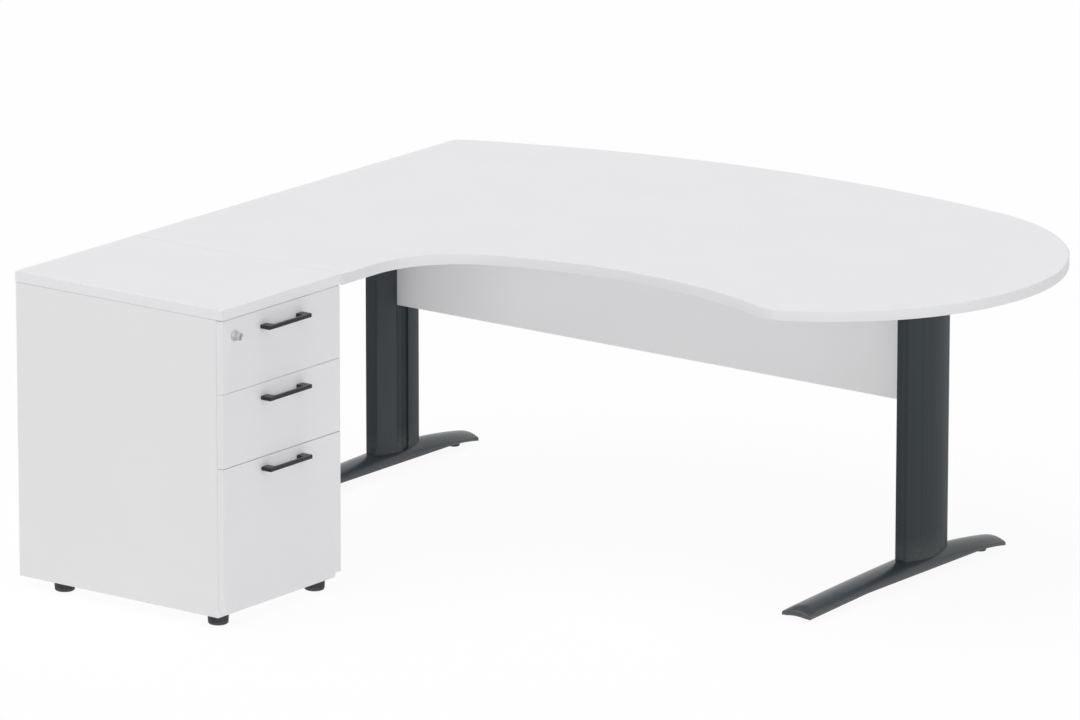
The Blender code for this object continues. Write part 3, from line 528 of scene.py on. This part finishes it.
def makeFinish(name, settings):
    # the second colour is written out, or is a share of the first
    colour, second = srgb(*settings["colour"]), settings["second"]
    shared = isinstance(second, float)
    second = tuple(second * part for part in colour[:3]) + (1.0,) if shared else srgb(*second)
    gloss, smooth, rough = settings["roughness"]
    metallic, specular = settings.get("metallic", 0.0), settings.get("specular", 0.5)
    material, tree, surface = newMaterial(name, colour, smooth, metallic, specular)
    patterns = {key: pattern(tree, *values) for key, (pattern, *values) in settings["patterns"].items()}
    blend, *span = settings["tint"]
    colours = {"Factor": ranged(tree, patterns[blend], *span), "A": colour, "B": second}
    shown = addNode(tree, "ShaderNodeMix", colours, data_type="RGBA").outputs["Result"]
    if "dust" in settings:
        shown = dusted(tree, shown, settings["dust"])
    tree.links.new(shown, surface.inputs["Base Color"])
    tree.links.new(ranged(tree, patterns[gloss], smooth, rough), surface.inputs["Roughness"])
    below = {}
    for key, (strength, depth) in settings["bumps"].items():
        inputs = {"Height": patterns[key], "Strength": strength, "Distance": depth, **below}
        below = {"Normal": addNode(tree, "ShaderNodeBump", inputs).outputs[0]}
    tree.links.new(below["Normal"], surface.inputs["Normal"])
    return material


finishes = {name: makeFinish(name, settings) for name, settings in finishSettings.items()}
for name, node in nodes.items():
    node.data.materials.clear()
    node.data.materials.append(finishes[slots[name]])
print("finishes made:", len(finishes))


# Worktop, its edging and the pedestal's top

worktop = {
    "returnLength": 1.610,
    "backBow": 0.209,
    "returnDepth": 0.600,
    "backRadius": 2.4735,
    "endRadius": 0.547,
    "cornerRadius": 0.055,
    "boardGap": 0.0001,
    "boardRound": 0.0002,
    "kneeholeRadius": 1.030,
    "kneeholeOffset": 1.110,
    "waistDepth": 0.996,
    "filletRadius": 0.229,
    "edging": 0.00225,  # how thick the band is
    "edgeRound": 0.0015,
    "buttShare": 0.15,  # how much of the rounding the butt joint with the pedestal gets
    "steps": {"back": 110, "end": 110, "corner": 12, "kneehole": 90, "fillet": 40},
}
boardFace = 0.0012  # faces of a board above this area are its flat sides


def bearing(centre, point):
    return math.atan2(point[1] - centre[1], point[0] - centre[0])


def crescentOutline():
    # arcs, each tangent to the next: back, round end, its softened corner, kneehole, the return's fillet
    low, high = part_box("desk_top_edging")
    left, right, returnEnd = low.x, high.x, low.y
    backApex = cadLow.y + worktop["returnLength"] + worktop["backBow"]
    backRadius, endRadius = worktop["backRadius"], worktop["endRadius"]
    kneeRadius, filletRadius = worktop["kneeholeRadius"], worktop["filletRadius"]
    backY = backApex - backRadius
    back = (left + math.sqrt(backRadius**2 - (backApex - worktop["backBow"] - backY)**2), backY)
    endX = right - endRadius
    end = (endX, backY + math.sqrt((backRadius - endRadius)**2 - (endX - back[0])**2))
    knee = (left + worktop["kneeholeOffset"], backApex - worktop["waistDepth"] - kneeRadius)
    filletX = left + worktop["returnDepth"] + filletRadius
    fillet = (filletX, knee[1] + math.sqrt((kneeRadius - filletRadius)**2 - (knee[0] - filletX)**2))
    # the corner's centre: its radius inside the round end's circle, and its radius outside the kneehole's
    cornerRadius, apart = worktop["cornerRadius"], math.dist(end, knee)
    inEnd, pastKnee = endRadius - cornerRadius, kneeRadius + cornerRadius
    along = (inEnd**2 - pastKnee**2 + apart**2) / (2 * apart)
    aside = math.sqrt(inEnd**2 - along**2)
    towards = np.subtract(knee, end) / apart
    corner = np.asarray(end) + towards * along + np.array([-towards[1], towards[0]]) * aside
    tangent, turn, steps = bearing(back, end), bearing(knee, fillet), worktop["steps"]
    start = (left, backY + math.sqrt(backRadius**2 - (left - back[0])**2))
    return np.concatenate([
        arcPoints(back, backRadius, bearing(back, start), tangent, steps["back"]),
        arcPoints(end, endRadius, tangent, bearing(end, corner), steps["end"])[1:],
        arcPoints(corner, cornerRadius, bearing(end, corner), bearing(corner, knee), steps["corner"])[1:],
        arcPoints(knee, kneeRadius, bearing(knee, corner), turn, steps["kneehole"])[1:],
        arcPoints(fillet, filletRadius, turn, math.pi, steps["fillet"])[1:],
        [(left + worktop["returnDepth"], returnEnd), (left, returnEnd)],
    ])


def makeEdging():
    low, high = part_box("desk_top_edging")
    outline = crescentOutline()
    shares = np.ones(len(outline))
    shares[-2] = worktop["buttShare"]
    rows = prismRows(outline, low.z, high.z, worktop["edgeRound"], 6, shares)
    inner = insetBy(outline, worktop["edging"])
    inner = [laid("Z", *inner.T, level) for level in (high.z, low.z)]
    # a band round the whole outline: its rounded outside, then its flat inside against the board
    band = skin(np.concatenate([rows, inner]), looped=True)
    makePiece("desk_top_edging_band", [band], "desk", ("desk_top_edging",))


def makeWorktop():
    low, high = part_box("desk_top")
    outline = insetBy(crescentOutline(), worktop["edging"] + worktop["boardGap"])
    board = prismSkin(outline, low.z, high.z, worktop["boardRound"], 3)
    makePiece("desk_top_board", [board], "desk", ("desk_top",), flatAbove=boardFace)


def makePedestalTop():
    low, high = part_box("pedestal_top")
    outline = [(low.x, low.y), (high.x, low.y), (high.x, high.y), (low.x, high.y)]
    shares = [1, 1, worktop["buttShare"], 1]
    board = prismSkin(outline, low.z, high.z, worktop["edgeRound"], 6, shares)
    makePiece("pedestal_top_board", [board], "desk", ("pedestal_top",), flatAbove=boardFace)


makeEdging()
makeWorktop()
makePedestalTop()
print("worktop, its edging and pedestal top made")


# Drawer fronts: softly edged boards, the top one round the hole for the lock

front = {
    "edgeRound": 0.0009,
    "grow": {"top": 0.0006, "middle": 0.0006, "filing": 0.0},  # how far the edging laps into the gaps
    "holeRadius": 0.0093,
    "steps": 96,  # points round the hole
}


def rectangleRound(centre, low, high):
    # turns round the centre, and where each one meets the rectangle: the nearer of its two sides ahead. Even
    # turns give way where they come close to a corner's
    corners = np.array([bearing(centre, (x, y)) for x in (low[0], high[0]) for y in (low[1], high[1])])
    even = np.linspace(0, 2 * np.pi, front["steps"], endpoint=False)
    clear = np.cos(even[:, None] - corners).max(axis=1) < math.cos(0.6 * np.pi / front["steps"])
    turn = np.sort(np.mod(np.r_[even[clear], corners], 2 * np.pi))
    way = np.stack([np.cos(turn), np.sin(turn)], axis=-1)
    side = np.where(way > 0, np.subtract(high, centre), np.subtract(low, centre))
    ahead = np.abs(side / np.where(np.abs(way) < 1e-9, 1e-9, way)).min(axis=1, keepdims=True)
    return turn, centre + ahead * way


def makeFront(drawer):
    (low, high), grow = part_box(f"{drawer}_drawer_front"), front["grow"][drawer]
    start, end = (low.y, low.z - grow), (high.y, high.z + grow)
    if drawer == "top":
        lockCentre = middleOf("lock_barrel")[1:]
        turn, outline = rectangleRound(lockCentre, start, end)
        rows = prismRows(outline, low.x, high.x, front["edgeRound"], 5, axis="X")
        y = lockCentre[0] + front["holeRadius"] * np.cos(turn)
        z = lockCentre[1] + front["holeRadius"] * np.sin(turn)
        hole = [laid("X", y, z, level) for level in (high.x, low.x)]
        board = skin(np.concatenate([rows, hole]), looped=True)
    else:
        outline = [start, (end[0], start[1]), end, (start[0], end[1])]
        board = prismSkin(outline, low.x, high.x, front["edgeRound"], 5, axis="X")
    stands = (f"{drawer}_drawer_front",)
    makePiece(f"{drawer}_front_board", [board], f"{drawer}_drawer", stands, sharp=60, flatAbove=boardFace)


drawers = ("top", "middle", "filing")
for drawer in drawers:
    makeFront(drawer)
print("drawer fronts made")


# Feet: an arch carried along the foot on two walls, hollow below, thick at both noses

foot = {
    "columnSetback": 0.405,
    "columnDepth": 0.164,
    # the low line, the edges of the roof and its crown, as heights at the tips and beside the column
    "lowTip": 0.008,
    "lowHub": 0.019,
    "lowStartShare": 0.29,
    "lowEndShare": 0.845,
    "edgeTip": 0.0162,
    "edgeHub": 0.038,
    "edgePeakShare": 0.632,
    "edgePowers": (1.3, 1.45),
    "crownFrontTip": 0.0302,
    "crownFront": 0.0479,
    "crownBow": 0.0012,
    "crownRear": 0.0498,
    "crownRearTip": 0.0278,
    "crownRearPower": 1.5,
    "noseLength": 0.030,
    "noseDrops": (0.0085, 0.001),  # front, rear
    "toeDrop": 0.006,
    "toeLip": 0.0008,
    "wall": 0.0045,
    "shoulderRound": 0.0030,
    "rimRound": 0.0010,
    "tipRound": 0.0020,
    "bossRadius": 0.008,
    "boreRadius": 0.0043,
    "bossStart": 0.0128,
    "stations": 120,
    "archSteps": 36,
}
legLines = {side: middleOf(f"{side}_foot")[0] for side in ("left", "right")}
outward = {"left": -1, "right": 1}
footLow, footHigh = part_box("left_foot")
footFront, footLength = footLow.y, footHigh.y - footLow.y
footHalf = (footHigh.x - footLow.x) / 2
columnMiddle = footFront + foot["columnSetback"] + foot["columnDepth"] / 2


def noseShare(along):
    # 1 at either tip, 0 from the length of a nose on
    return np.maximum(0, 1 - np.minimum(along, footLength - along) / foot["noseLength"])


def footLevels(along):
    # lower edge, upper edge and crown at a distance from the front tip
    rearLine = foot["columnSetback"] + foot["columnDepth"]
    peak = foot["edgePeakShare"] * footLength
    front = np.clip(along / foot["columnSetback"], 0, 1)
    under = np.clip((along - foot["columnSetback"]) / foot["columnDepth"], 0, 1)
    rear = np.clip((along - rearLine) / (footLength - rearLine), 0, 1)
    crown = foot["crownFrontTip"] + (foot["crownFront"] - foot["crownFrontTip"]) * front
    crown = crown + 4 * foot["crownBow"] * front * (1 - front)
    crown = crown + (foot["crownRear"] - foot["crownFront"]) * under
    crown = crown - (foot["crownRear"] - foot["crownRearTip"]) * rear**foot["crownRearPower"]
    crown = crown - np.where(along < foot["columnSetback"], *foot["noseDrops"]) * noseShare(along)**2
    before, after = foot["edgePowers"]
    rising = 1 - np.clip(1 - along / peak, 0, 1)**before
    falling = 1 - np.clip((along - peak) / (footLength - peak), 0, 1)**after
    edge = foot["edgeTip"] + (foot["edgeHub"] - foot["edgeTip"]) * np.where(along < peak, rising, falling)
    lowStart, lowEnd = foot["lowStartShare"] * footLength, foot["lowEndShare"] * footLength
    frontDrop = np.clip(lowStart - along, 0, None) / lowStart
    rearDrop = (np.clip(along - lowEnd, 0, None) / (footLength - lowEnd))**2
    low = foot["lowHub"] - (foot["lowHub"] - foot["lowTip"]) * np.maximum(frontDrop, rearDrop)
    return low, edge, crown


def softCorner(before, corner, after, reach, steps=5):
    # (1-t)^2 A + 2t(1-t) P + t^2 B for whole rows of corners at once, A and B lying reach before and after P
    a = corner + (before - corner) / np.linalg.norm(before - corner, axis=-1, keepdims=True) * reach
    b = corner + (after - corner) / np.linalg.norm(after - corner, axis=-1, keepdims=True) * reach
    t = np.linspace(0, 1, steps)[None, :, None]
    return (1 - t)**2 * a[:, None] + 2 * t * (1 - t) * corner[:, None] + t**2 * b[:, None]


def footRows(centre):
    # z(u, along) = edge + (crown - edge) (1 - (u / half)^2) on the roof, straight walls below its edges
    nose = foot["tipRound"]
    ends = nose * (1 - np.cos(np.linspace(0, np.pi / 2, 6)))
    along = np.unique(np.r_[ends, np.linspace(nose, footLength - nose, foot["stations"]), footLength - ends])
    low, edge, crown = footLevels(along)
    # the outer skin is drawn in over the last millimetres, which rounds the rim of each tip
    fromEnd = np.minimum(along, footLength - along)
    drawn = nose - np.sqrt(np.clip(nose**2 - np.clip(nose - fromEnd, 0, None)**2, 0, None))
    half = footHalf - drawn
    reach = foot["shoulderRound"] / footHalf
    share = np.linspace(-1 + reach, 1 - reach, foot["archSteps"] + 1)
    edge, rise = edge[:, None], (crown - edge)[:, None]
    roofZ = edge + rise * (1 - share**2) - drawn[:, None]
    roof = np.stack([half[:, None] * share, roofZ], axis=-1)
    shoulder = np.stack([half, edge[:, 0] - drawn], axis=-1)
    below = np.stack([half, low], axis=-1)
    mirror = np.array([-1.0, 1.0])
    right = softCorner(below, shoulder, roof[:, -1], foot["shoulderRound"])
    left = softCorner(roof[:, 0], shoulder * mirror, below * mirror, foot["shoulderRound"])
    innerHalf = footHalf - foot["wall"]
    drop = foot["wall"] + foot["toeDrop"] * noseShare(along)[:, None]
    u = innerHalf * np.linspace(1, -1, foot["archSteps"] // 2 + 1)
    innerZ = np.maximum(edge + rise * (1 - (u / footHalf)**2) - drop, (low + foot["toeLip"])[:, None])
    inner = np.stack([np.broadcast_to(u, innerZ.shape), innerZ], axis=-1)
    innerFoot = np.stack([np.full_like(low, innerHalf), low], axis=-1)
    rim = softCorner(shoulder, below, innerFoot, foot["rimRound"], 4)
    rimLeft = softCorner(innerFoot * mirror, below * mirror, shoulder * mirror, foot["rimRound"], 4)
    ring = np.concatenate([left, rimLeft[:, ::-1], innerFoot[:, None] * mirror, inner[:, ::-1],
                           innerFoot[:, None], rim[:, ::-1], right, roof[:, ::-1]], axis=1)
    return laid("Y", centre + ring[..., 0], ring[..., 1], (footFront + along)[:, None])


def footSkins(side):
    # the casting, and the boss of each glide under its roof
    skins = [skin(footRows(legLines[side]), caps=("first", "last"))]
    for end in ("front", "rear"):
        x, y, _ = middleOf(f"{side}_foot_{end}_glide")
        roof = float(footLevels(y - footFront)[2]) - foot["wall"] / 2
        start, bore, boss = foot["bossStart"], foot["boreRadius"], foot["bossRadius"]
        profile = [(bore, roof), (bore, start), (boss, start), (boss, roof)]
        skins.append(skin(turnedRows(profile, (x, y, 0), 40)))
    return skins


for side in legLines:
    makePiece(f"{side}_foot_casting", footSkins(side), "desk", (f"{side}_foot",), sharp=50)
print("feet made")


# Columns, cable covers and channel strips: sections of the extrusion that stand on the arch of the foot

column = {
    "halfThickness": 0.015,
    "bulge": 0.015,
    "wall": 0.0025,
    "cornerRound": 0.0009,
    "lipRound": 0.0004,
    "coverMargin": 0.0028,
    "coverWidth": 0.0587,
    "coverThickness": 0.002,
    "coverLip": 0.006,
    "clipThickness": 0.0015,
    "clipDepth": 0.009,
    "clipBarb": 0.0008,
    "finThickness": 0.0015,
    "channelWidth": 0.019,
    "channelDepth": 0.012,
    "grooveWidth": 0.0222,
    "grooveDepth": 0.0065,
    "stripSheet": 0.0015,
    "coverRound": 0.0006,
    "stripRound": 0.0004,
    "stripBend": 0.0002,
    "topRound": 0.0003,
    "gap": 0.0003,
    "steps": 40,
}
# along the section from the front: the cover, a fin, the channel, a fin, the groove
coverStart = column["coverMargin"] - foot["columnDepth"] / 2
coverEnd = coverStart + column["coverWidth"]
channelStart = coverEnd + column["finThickness"]
channelEnd = channelStart + column["channelWidth"]
grooveStart = channelEnd + column["finThickness"]
grooveEnd = grooveStart + column["grooveWidth"]


def halfThickness(v):
    # h(v) = thinnest + bulge (1 - (2 v / depth)^2)
    return column["halfThickness"] + column["bulge"] * (1 - (2 * v / foot["columnDepth"])**2)


def bowed(start, end, depth=0.0, steps=column["steps"]):
    # u(v) = depth - (half thickness at v): the inner side of the column, sunk into it by depth
    v = np.linspace(start, end, steps + 1)
    return np.stack([depth - halfThickness(v), v], axis=-1)


def columnSection():
    # its stretches in turn: from the front lip round the outside, the groove and the channel to the rear lip,
    # then back along the inside of the wall
    deep, wall = foot["columnDepth"] / 2, column["wall"]
    rebate = column["coverThickness"] + column["gap"]
    inside, lipBack = deep - wall, rebate + wall
    frontLip, rearLip = coverStart + column["coverLip"], coverEnd - column["coverLip"]
    floor = column["channelDepth"] - halfThickness((channelStart + channelEnd) / 2)
    shallow = column["grooveDepth"] - halfThickness(grooveStart)
    mirror = np.array([-1, 1])
    before, after, afterGroove = channelStart - wall, channelEnd + wall, grooveEnd + wall
    corner, lip = column["cornerRound"], column["lipRound"]
    parts = [
        (bowed(frontLip, coverStart, rebate, 2), lip, 0), (bowed(coverStart, -deep, 0, 1), lip, corner),
        (bowed(-deep, deep) * mirror, corner, corner), (bowed(deep, grooveEnd), corner, lip),
        (np.array([(shallow, grooveEnd), (shallow, grooveStart)]), lip, lip),
        (bowed(grooveStart, channelEnd, 0, 1), lip, lip),
        (np.array([(floor, channelEnd), (floor, channelStart)]), lip, lip),
        (bowed(channelStart, coverEnd, 0, 1), lip, lip), (bowed(coverEnd, rearLip, rebate, 2), 0, lip),
        (bowed(rearLip, before, lipBack, 2), lip, 0),
        (np.array([(floor + wall, before), (floor + wall, after)]), lip, lip),
        (np.array([(shallow + wall, after), (shallow + wall, afterGroove)]), lip, lip),
        (bowed(afterGroove, inside, wall), lip, lip), (bowed(inside, -inside, wall) * mirror, lip, lip),
        (bowed(-inside, frontLip, lipBack, 2), lip, lip),
    ]
    # each stretch keeps its points sharp but for a small radius at its two ends
    rounds = [np.r_[first, np.zeros(len(points) - 2), last] for points, first, last in parts]
    return filleted(np.c_[np.concatenate([points for points, _, _ in parts]), np.concatenate(rounds)], 4)


def standingSkin(side, section, high):
    # the section from the foot's arch, z = edge + (crown - edge) (1 - (u / half)^2) + gap, to its level top
    edgeRound = column["topRound"]
    _, edge, crown = footLevels(columnMiddle - footFront + section[:, 1])
    seat = edge + (crown - edge) * (1 - (section[:, 0] / footHalf)**2) + column["gap"]
    plan, top = ((legLines[side] + outward[side] * points[:, 0], columnMiddle + points[:, 1])
                 for points in (section, insetBy(section, edgeRound)))
    rows = np.stack([laid("Z", *plan, seat), laid("Z", *plan, high - edgeRound), laid("Z", *top, high)])
    return skin(rows, caps=("first", "last"))


def clipOutline(place, way):
    # a clip on the back of the cover, hooked behind the column's lip by a barb that points way
    face = -halfThickness(place)
    back, tip = face + column["coverThickness"], face + column["clipDepth"]
    barb = back + column["wall"] + 2 * column["gap"]
    inner = place - way * column["clipThickness"]
    hook = place + way * column["clipBarb"]
    return np.array([(back, place), (barb, place), (barb, hook), (tip, place), (tip, inner), (back, inner)])


def coverSection():
    # its bowed face, then back along its inside over the two clips
    start, end = coverStart + column["gap"], coverEnd - column["gap"]
    thick, lip = column["coverThickness"], column["coverLip"] + column["gap"]
    rear, front = clipOutline(coverEnd - lip, 1), clipOutline(coverStart + lip, -1)[::-1]
    parts = [bowed(start, end), bowed(end, rear[0][1], thick, 1)[:-1], rear,
             bowed(rear[-1][1], front[0][1], thick)[1:-1], front, bowed(front[-1][1], start, thick, 1)[1:]]
    outline = np.concatenate(parts)
    rounds = np.zeros(len(outline))
    rounds[[0, len(parts[0]) - 1]] = column["coverRound"]
    return filleted(np.c_[outline, rounds], 4)


def stripSection():
    # a hat: its face flush with the column, two legs down to the channel's floor
    gap, sheet = column["gap"], column["stripSheet"]
    face = -halfThickness(channelStart)
    floor = column["channelDepth"] - halfThickness((channelStart + channelEnd) / 2) - gap
    start, end = channelStart + gap, channelEnd - gap
    outline = [(face, start), (floor, start), (floor, start + sheet), (face + sheet, start + sheet),
               (face + sheet, end - sheet), (floor, end - sheet), (floor, end), (face, end)]
    rounds = [column["stripRound"], *[column["stripBend"]] * 6, column["stripRound"]]
    return filleted(np.c_[outline, rounds], 4)


uprights = {
    "column": (columnSection(), "extrusion"),
    "cable_cover": (coverSection(), "strip"),
    "channel_strip": (stripSection(), "infill"),
}
for side in legLines:
    for part, (section, kind) in uprights.items():
        name = f"{side}_{part}"
        upright = standingSkin(side, section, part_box(name)[1].z)
        makePiece(f"{name}_{kind}", [upright], "desk", (name,), sharp=32)
print("columns, covers and strips made")


# Glides: plain turned feet with a rounded tread, a parting line and a chamfered collar round the stem

glide = {
    "treadRound": {"foot": 0.003, "pedestal": 0.005},
    "taper": {"foot": 0.0003, "pedestal": 0.001},
    "stemRadius": {"foot": 0.004, "pedestal": 0.005},
    "stemHeight": 0.013,
    "topRound": 0.0012,
    "hollow": 0.0006,  # the middle of the tread stands clear of the floor
    "hollowShares": (0.55, 0.6),
    "partingShare": 0.62,
    "partingHalf": 0.0004,
    "partingDepth": 0.00025,
    "collar": 0.0012,
    "stemChamfer": 0.0005,
}


def glideProfile(kind, radius, high):
    # radius against height from the tread up: quarter round, tapered side, rounded shoulder, then the stem
    tread, shoulder, taper = glide["treadRound"][kind], glide["topRound"], glide["taper"][kind]
    stem, collar, chamfer = glide["stemRadius"][kind], glide["collar"], glide["stemChamfer"]
    flat, top = radius - taper - tread, high - glide["stemHeight"]
    parting, half = top * glide["partingShare"], glide["partingHalf"]
    hollow, (inner, outer) = glide["hollow"], glide["hollowShares"]
    return np.concatenate([
        [(0, hollow), (flat * inner, hollow), (flat * outer, 0)],
        arcPoints((flat, tread), tread, -np.pi / 2, 0, 8),
        [(radius - taper * 0.5, parting - half), (radius - taper * 0.5 - glide["partingDepth"], parting)],
        [(radius - taper * 0.4, parting + half)],
        arcPoints((radius - shoulder, top - shoulder), shoulder, 0, np.pi / 2, 6),
        [(stem + collar, top), (stem, top + collar * 0.4)],
        [(stem, high - chamfer), (stem - chamfer, high), (0, high)],
    ])


for name in [name for name in nodes if name.endswith("_glide")]:
    low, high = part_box(name)
    kind = "pedestal" if name.startswith("pedestal") else "foot"
    profile = glideProfile(kind, (high.x - low.x) / 2, high.z)
    rows = turnedRows(profile, (*middleOf(name)[:2], 0), 72)
    makePiece(f"{name}_moulding", [skin(rows)], name.replace("_glide", "_leveller"), (name,))
print("glides made")


# Handles: flat bars with two wide feet, softly rounded along every edge

handle = {
    "footWidth": 0.024,
    "barDepth": 0.008,
    "innerRound": 0.006,
    "outerRound": 0.004,
    "seatRound": 0.0016,
    "edgeRound": 0.0009,
}


def makeHandle(drawer):
    low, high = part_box(f"{drawer}_drawer_handle")
    gap, width = high.x - handle["barDepth"], handle["footWidth"]
    inner, outer, seat = handle["innerRound"], handle["outerRound"], handle["seatRound"]
    plan = filleted([
        (low.x, low.y, seat), (high.x, low.y, outer), (high.x, high.y, outer), (low.x, high.y, seat),
        (low.x, high.y - width, seat), (gap, high.y - width, inner),
        (gap, low.y + width, inner), (low.x, low.y + width, seat),
    ], 9)
    bar = prismSkin(plan, low.z, high.z, handle["edgeRound"], 7)
    makePiece(f"{drawer}_handle_casting", [bar], f"{drawer}_drawer", (f"{drawer}_drawer_handle",), sharp=60)


for drawer in drawers:
    makeHandle(drawer)
print("handles made")


# Lock: a flanged housing with a turned rim and a barrel with a key slot

lock = {
    "sleeveRadius": 0.009,
    "boreRadius": 0.007,
    "barrelRadius": 0.0067,
    "seatGap": 0.0003,
    "flangeThickness": 0.002,
    "flangeRound": 0.0008,
    "flangeChamfer": 0.0002,
    "coveReach": 0.0006,
    "coveRise": 0.0009,
    "rimRound": 0.0008,
    "boreChamfer": 0.0004,
    "barrelChamfer": 0.0005,
    "dish": 0.0003,
    "dishMargins": (0.0013, 0.0016),  # where the dish in the barrel's face starts and ends
    "slotWidth": 0.002,
    "slotHeight": 0.009,
    "slotDepth": 0.006,
    "slotChamfer": 0.0004,
}


def makeLockHousing():
    low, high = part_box("lock_housing")
    flangeRadius, face = (high.y - low.y) / 2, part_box("top_drawer_front")[1].x + lock["seatGap"]
    flangeFront, sleeve, bore = face + lock["flangeThickness"], lock["sleeveRadius"], lock["boreRadius"]
    rim, edge, bevel = lock["rimRound"], lock["flangeRound"], lock["flangeChamfer"]
    reach, rise, chamfer = lock["coveReach"], lock["coveRise"], lock["boreChamfer"]
    profile = np.concatenate([
        [(bore, low.x), (sleeve, low.x), (sleeve, face)],
        [(flangeRadius - bevel, face), (flangeRadius, face + bevel)],
        arcPoints((flangeRadius - edge, flangeFront - edge), edge, 0, np.pi / 2, 5),
        [(sleeve + reach, flangeFront), (sleeve + reach / 3, flangeFront + rise / 3)],
        [(sleeve, flangeFront + rise)],
        arcPoints((sleeve - rim, high.x - rim), rim, 0, np.pi / 2, 5),
        [(bore + chamfer, high.x), (bore, high.x - chamfer)],
    ])
    rows = turnedRows(profile, (0, *middleOf("lock_housing")[1:]), 96, "X")
    makePiece("lock_housing_turned", [skin(rows, looped=True)], "top_drawer", ("lock_housing",), sharp=50)


def slotRadius(turn, halfWidth, halfHeight):
    # distance from the middle to the edge of a rectangle, in the direction of turn
    with np.errstate(divide="ignore"):
        return np.minimum(halfWidth / np.abs(np.cos(turn)), halfHeight / np.abs(np.sin(turn)))


def makeLockBarrel():
    # rings round the barrel's axis, as radii and a level: its back, its side, its dished face, the slot
    (low, high), (_, y, z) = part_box("lock_barrel"), middleOf("lock_barrel")
    width, height, bevel = lock["slotWidth"] / 2, lock["slotHeight"] / 2, lock["slotChamfer"]
    corner, steps = math.atan2(height, width), np.linspace(0, 1, 13)
    turn = np.unique(np.concatenate([corner * steps, np.pi / 2 + (corner - np.pi / 2) * steps]))
    turn = np.concatenate([turn, np.pi - turn[::-1][1:], np.pi + turn[1:], 2 * np.pi - turn[::-1][1:-1]])
    radius, chamfer, dished = lock["barrelRadius"], lock["barrelChamfer"], high.x - lock["dish"]
    slot, mouth = slotRadius(turn, width, height), slotRadius(turn, width + bevel, height + bevel)
    dishStart, dishEnd = lock["dishMargins"]
    rings = [
        (0, low.x), (radius, low.x), (radius, high.x - chamfer), (radius - chamfer, high.x),
        (radius - dishStart, high.x), (radius - dishEnd, dished), (mouth, dished), (slot, dished - bevel),
        (slot, high.x - lock["slotDepth"]), (0, high.x - lock["slotDepth"]),
    ]
    rows = np.stack([laid("X", y + r * np.cos(turn), z + r * np.sin(turn), level) for r, level in rings])
    makePiece("lock_barrel_turned", [skin(rows)], "lock", ("lock_barrel",), sharp=30)


makeLockHousing()
makeLockBarrel()
print("lock made")


# Screws: pan heads with a cross recess, under the arms and on the return angle

screw = {
    "radius": 0.0042,
    "height": 0.0026,
    "side": 0.0006,
    "domeShares": (1, 0.94, 0.82, 0.66),
    "crossLength": 0.0047,
    "crossWidth": 0.0011,
    "recess": 0.0018,
    "steps": 32,
    "plate": 0.003,  # the sheet that it holds
    "armSpots": (0.16, 0.36, 0.64, 0.84),  # shares of the arm's length
    "armRow": 0.0245,  # from the arm's middle line
    "angleSpots": (0.12, 0.5, 0.88),
}


def crossRadius(turn, reach, half):
    # the edge of a plus sign in the direction of turn
    c, s = np.abs(np.cos(turn)) + 1e-6, np.abs(np.sin(turn)) + 1e-6
    return np.maximum(np.minimum(reach / c, half / s), np.minimum(reach / s, half / c))


def screwSkin(seat, direction):
    # a head on its seat: z(r) = side + (height - side) sqrt(1 - (r / radius)^2), with a cross sunk in
    turn = np.linspace(0, 2 * np.pi, screw["steps"], endpoint=False)
    radius, height, side = screw["radius"], screw["height"], screw["side"]
    cross = crossRadius(turn, screw["crossLength"] / 2, screw["crossWidth"] / 2)
    dome = [(radius * s, side + (height - side) * math.sqrt(1 - s**2)) for s in screw["domeShares"]]
    deep = height - screw["recess"]
    rings = [(0, 0), (radius, 0), *dome, (cross, height * 0.97), (cross * 0.7, deep), (0, deep)]
    rows = np.stack([laid("Z", r * np.cos(turn), r * np.sin(turn), level) for r, level in rings])
    rows = rows * np.array([1, 1, -1]) if direction == "down" else rows[..., [0, 2, 1]]
    return skin(rows + np.asarray(seat, float))


def armScrews():
    skins = []
    for side, centre in legLines.items():
        low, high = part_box(f"{side}_top_arm")
        spots = low.y + (high.y - low.y) * np.array(screw["armSpots"])
        rows, seat = (centre - screw["armRow"], centre + screw["armRow"]), high.z - screw["plate"]
        skins += [screwSkin((x, y, seat), "down") for x in rows for y in spots]
    return skins


def angleScrews():
    (low, high), (_, y, z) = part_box("return_angle"), middleOf("return_angle")
    spots = low.x + (high.x - low.x) * np.array(screw["angleSpots"])
    under = [screwSkin((x, y, high.z - screw["plate"]), "down") for x in spots]
    return under + [screwSkin((x, low.y + screw["plate"], z), "back") for x in spots]


makePiece("arm_screws", armScrews(), "desk", slot="zinc_steel", sharp=30)
makePiece("angle_screws", angleScrews(), "desk", slot="zinc_steel", sharp=30)
print("screws made")
